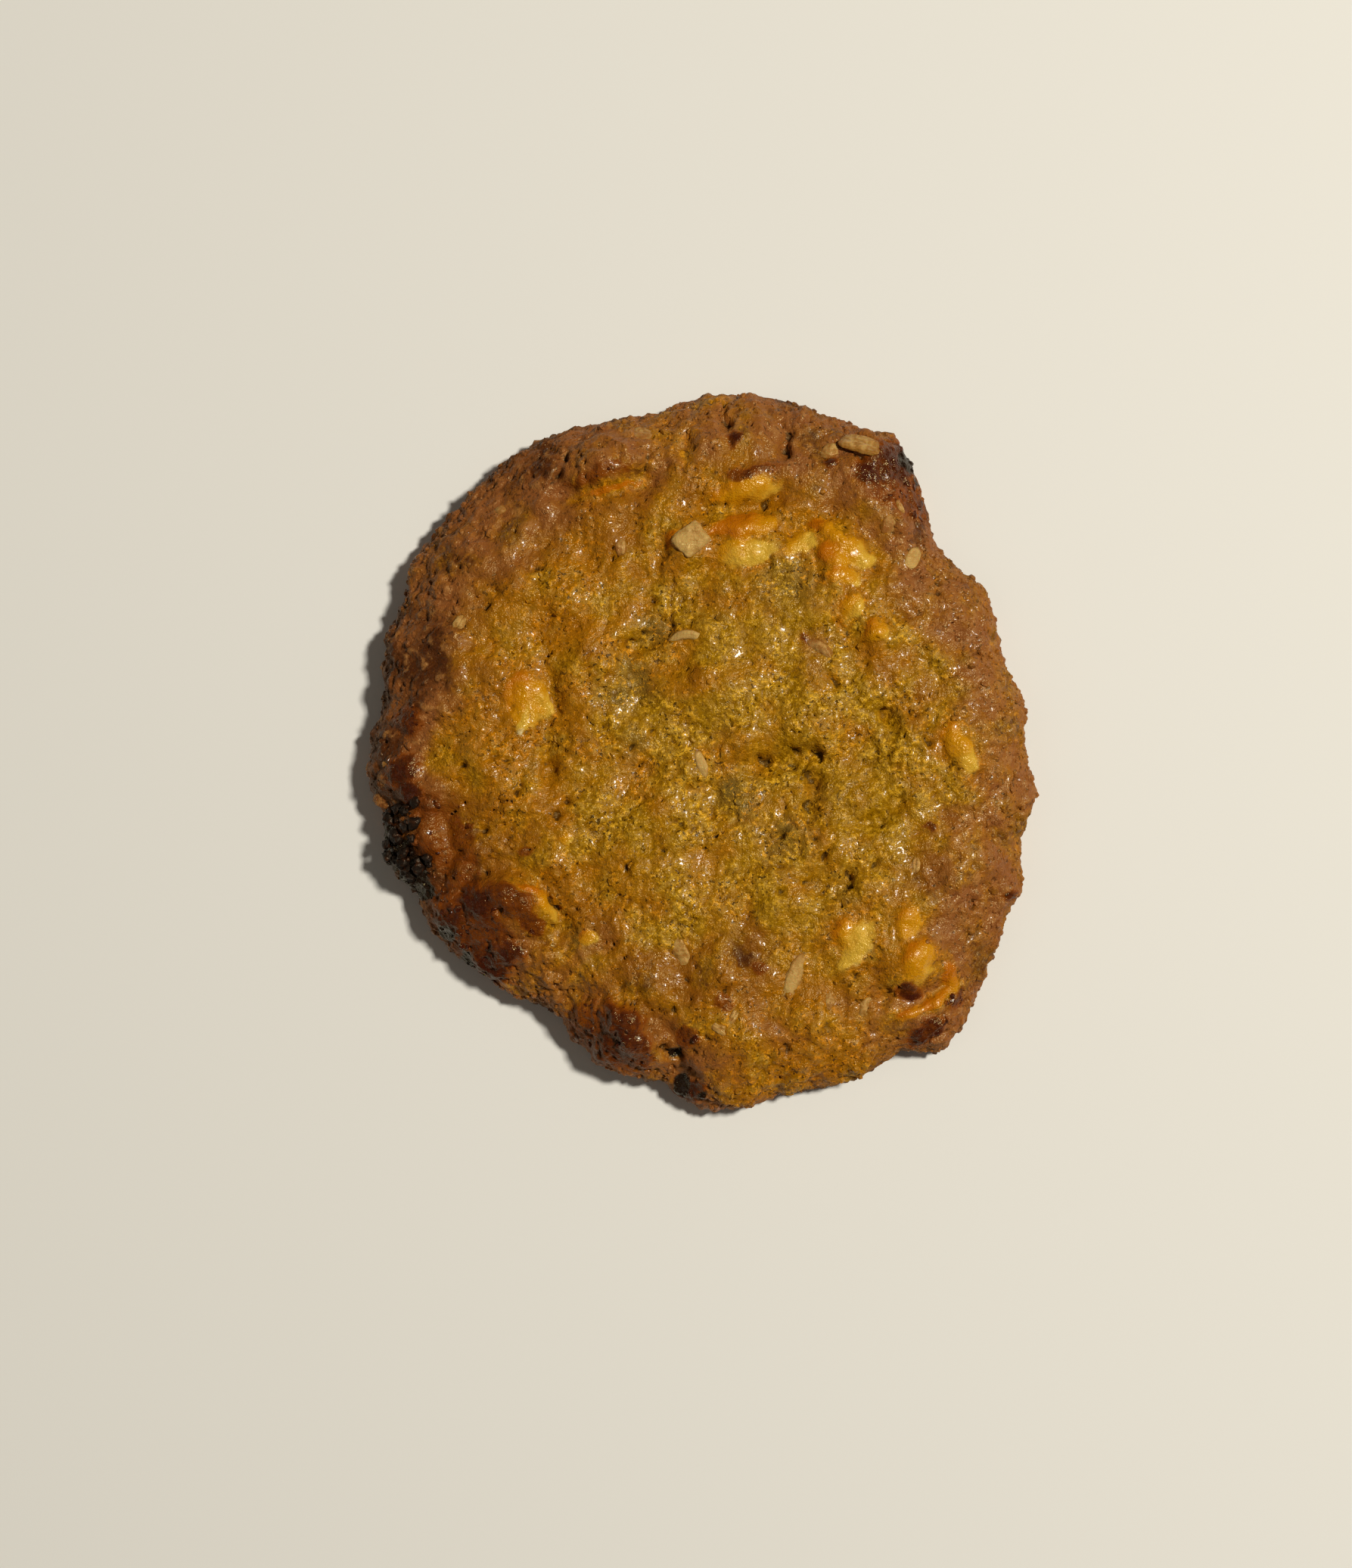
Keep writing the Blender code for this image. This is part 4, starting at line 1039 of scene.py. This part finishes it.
# %% Oat finish
def oat_finish():
    constants = {
        "Specular IOR Level": 0.35,
        "Specular Tint": BUTTER_SHINE,
        "Subsurface Weight": 0.3,
        "Subsurface Scale": 0.6 * MM,
    }
    material, shader, wires = new_finish("oat_flake", constants)
    toast = painted(wires, "toast")
    streaks = grain_noise(wires, 0.6, 3.0)
    cloud = grain_noise(wires, 1.8, 2.0)
    tone = streaks.step(0.35, 0.65).mix(colour(158, 108, 42), colour(192, 148, 80))
    tone = (toast + (cloud - 0.5) * 0.6).step(-0.2, -0.7).mix(tone, colour(196, 156, 86))
    tone = (toast + (cloud - 0.5) * 1.2).step(0.1, 0.8).mix(tone, colour(152, 94, 40))
    tone = (painted(wires, "verge").step(0.75, 1.1) * 0.8).mix(tone, colour(140, 88, 20))
    bumped = wires.node("ShaderNodeBump", None, {"Height": streaks, "Strength": 1.0, "Distance": 0.00018})
    feed(shader, {"Base Color": tone, "Roughness": 0.6 - cloud.step(0.4, 0.6) * 0.3, "Normal": bumped})
    return material


oats.data.materials.append(oat_finish())

# %% [markdown]
# ## Crumbs of dough
#
# Dough is dropped, not smoothed, so crumbs stand all over it, most of all round the
# rim. They are drawn at random, from a fixed seed, among the points of the finished
# crust, and sit on its true surface. They keep off chocolate and oats. A drawn
# number raised to a power makes many small ones and few large.

# %% Dough crumbs
CRUMB_COUNT = 3900
CRUMB_LENGTH = (0.45, 1.6)
CRUMB_SEED = 23
draw = np.random.default_rng(CRUMB_SEED)
surface, outward = read_points(crust), read_points(crust, "normal")
reach = np.hypot(surface[:, 0], surface[:, 1])
inward = edge_distance(np.arctan2(surface[:, 1], surface[:, 0])) - reach
chance = (0.2 + 0.8 * crumbly + 0.5 * smooth_step(9.0, 1.0, inward)) * (surface[:, 2] > 1.2)
chance *= (1.0 - bed) * (1.0 - milk) * (1.0 - 0.7 * syrup)
picked = draw.choice(len(surface), CRUMB_COUNT, replace=False, p=chance / chance.sum())
power = 4.0 - 0.9 * smooth_step(8.0, 2.0, inward[picked])
length = CRUMB_LENGTH[0] + (CRUMB_LENGTH[1] - CRUMB_LENGTH[0]) * draw.random(CRUMB_COUNT) ** power
width, height = draw.uniform(0.55, 0.95, CRUMB_COUNT), draw.uniform(0.5, 0.8, CRUMB_COUNT)
sizes = length[:, None] * np.stack((np.ones(CRUMB_COUNT), width, height), axis=1)
sunk = length * draw.uniform(-0.35, -0.08, CRUMB_COUNT)
middle = surface[picked] + outward[picked] * sunk[:, None]
turn, tip = draw.uniform(0, 360, CRUMB_COUNT), draw.uniform(-25, 25, CRUMB_COUNT)
seats = (middle, seat_frames(middle, outward[picked], turn, tip), sizes)
crumbs, owner, _ = copies("dough_crumbs", ball(6, 5), seats, ((0.35, 2.6), (0.15, 6.0)), False)
where = read_points(crumbs)
for name, values in baking(where).items():
    paint(crumbs, name, values)
paint(crumbs, "syrup", patches_in(where, SYRUP)[0])
paint(crumbs, "level", np.full(len(where), 0.7))
paint(crumbs, "lump", np.full(len(where), 0.6))
paint(crumbs, "crumbly", draw.random(CRUMB_COUNT)[owner])
crumbs.data.materials.append(crust.data.materials[0])
print("crumbs:", CRUMB_COUNT, "faces:", len(crumbs.data.polygons))

# %% [markdown]
# ## Scorched crumbs
#
# At one side the edge caught the heat of the tray. The crumbs there are nearly
# black, stand out of the rim, and show a dry shine.

# %% Scorched crumbs
SCORCHED_COUNT = 54
SCORCHED_ARC = (191.0, 205.0)
SCORCHED_LENGTH = (0.6, 2.0)
angle = np.radians(draw.uniform(*SCORCHED_ARC, SCORCHED_COUNT))
radius = edge_distance(angle) * draw.uniform(0.89, 0.99, SCORCHED_COUNT)
x, y = radius * np.cos(angle), radius * np.sin(angle)
shortest, longest = SCORCHED_LENGTH
length = shortest + (longest - shortest) * draw.random(SCORCHED_COUNT) ** 2
width, height = draw.uniform(0.6, 1.0, SCORCHED_COUNT), draw.uniform(0.6, 0.9, SCORCHED_COUNT)
sizes = length[:, None] * np.stack((np.ones(SCORCHED_COUNT), width, height), axis=1)
out = crust_normal(x, y)
middle = np.stack((x, y, crust_height(x, y)), axis=1) + out * (length * 0.1)[:, None]
turn, tip = draw.uniform(0, 360, SCORCHED_COUNT), draw.uniform(-30, 30, SCORCHED_COUNT)
seats = (middle, seat_frames(middle, out, turn, tip), sizes)
scorched = copies("scorched_crumbs", ball(12, 8), seats, ((0.5, 2.8), (0.25, 7.0)))[0]
print("scorched crumbs:", SCORCHED_COUNT, "faces:", len(scorched.data.polygons))


def scorched_finish():
    constants = {"Specular IOR Level": 0.25, "Specular Tint": (1.0, 0.8, 0.55, 1.0)}
    material, shader, wires = new_finish("scorched_crumb", constants)
    cloud = grain_noise(wires, 0.8, 3.0)
    tone = cloud.step(0.48, 0.68).mix(colour(26, 16, 10), colour(58, 32, 16))
    bumped = wires.node("ShaderNodeBump", None, {"Height": cloud, "Strength": 1.0, "Distance": 0.0003})
    feed(shader, {"Base Color": tone, "Roughness": 0.6 - cloud.step(0.4, 0.6) * 0.3, "Normal": bumped})
    return material


scorched.data.materials.append(scorched_finish())

# %% [markdown]
# ## Floor, light and camera
#
# A pale plain floor and a small key light from the right, a little behind, give the
# same short shadow on the left as daylight would. A large weak light and a dim
# background fill it. The camera looks almost straight down.

# %% Floor
FLOOR_SIDE = 1800.0
corners = np.array([(-0.5, -0.5, 0.0), (0.5, -0.5, 0.0), (0.5, 0.5, 0.0), (-0.5, 0.5, 0.0)])
floor = mesh_object("floor", corners * FLOOR_SIDE, [(0, 1, 2, 3)], smooth=False)
material, shader, _ = new_finish("floor", {"Roughness": 0.9, "Specular IOR Level": 0.2})
shader.inputs["Base Color"].default_value = colour(240, 236, 225)
floor.data.materials.append(material)
floor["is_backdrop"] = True


# %% Lights
def area_light(name, azimuth, elevation, distance, size, power, tint):
    """A square light that looks at the cookie from a direction, in degrees."""
    lamp = bpy.data.lights.new(name, "AREA")
    lamp.size = size
    lamp.energy = power
    lamp.color = tint
    holder = bpy.data.objects.new(name, lamp)
    a, e = math.radians(azimuth), math.radians(elevation)
    away = Vector((math.cos(a) * math.cos(e), math.sin(a) * math.cos(e), math.sin(e)))
    holder.location = away * distance
    holder.rotation_euler = away.to_track_quat("Z", "Y").to_euler()
    bpy.context.scene.collection.objects.link(holder)


area_light(
    "key", azimuth=18.0, elevation=60.0, distance=1.2, size=0.14, power=12.8, tint=(1.0, 0.975, 0.92)
)
area_light(
    "fill", azimuth=200.0, elevation=50.0, distance=1.5, size=1.0, power=0.75, tint=(1.0, 0.93, 0.84)
)
world = bpy.data.worlds.new("studio")
bpy.context.scene.world = world
world.use_nodes = True
background = world.node_tree.nodes["Background"]
background.inputs["Color"].default_value = (1.0, 0.94, 0.86, 1.0)
background.inputs["Strength"].default_value = 0.075
bpy.context.scene.view_settings.view_transform = "Standard"

# %% Camera
PICTURE = (1787, 2072)
PIXELS_PER_MM = 9.8
COOKIE_PIXEL = (925, 991)
ELEVATION = 86.0
CAMERA_DISTANCE = 450.0
SENSOR = 24.0
aim = Vector((
    (PICTURE[0] / 2 - COOKIE_PIXEL[0]) / PIXELS_PER_MM,
    (COOKIE_PIXEL[1] - PICTURE[1] / 2) / PIXELS_PER_MM,
    WAIST_HEIGHT,
))
lean = math.radians(90.0 - ELEVATION)
lens = bpy.data.cameras.new("camera")
lens.sensor_fit = "VERTICAL"
lens.sensor_height = SENSOR
lens.lens = SENSOR * CAMERA_DISTANCE * PIXELS_PER_MM / PICTURE[1]
lens.clip_start = 0.01
camera = bpy.data.objects.new("camera", lens)
camera.location = (aim + Vector((0.0, -math.sin(lean), math.cos(lean))) * CAMERA_DISTANCE) * MM
camera.rotation_euler = (lean, 0.0, 0.0)
bpy.context.scene.collection.objects.link(camera)
bpy.context.scene.camera = camera
print("lens", round(lens.lens, 1), "mm")

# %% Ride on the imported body, and finish
SLOTS = {
    crust: "baked_crust",
    oats: "oat_flake",
    crumbs: "baked_crust",
    scorched: "scorched_crumb",
}
for piece, slot in SLOTS.items():
    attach(piece, "root")
    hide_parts("cookie")

sizes = {"cad": CAD_BOX, "visual": [list(corner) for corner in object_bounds()]}
print(sizes)
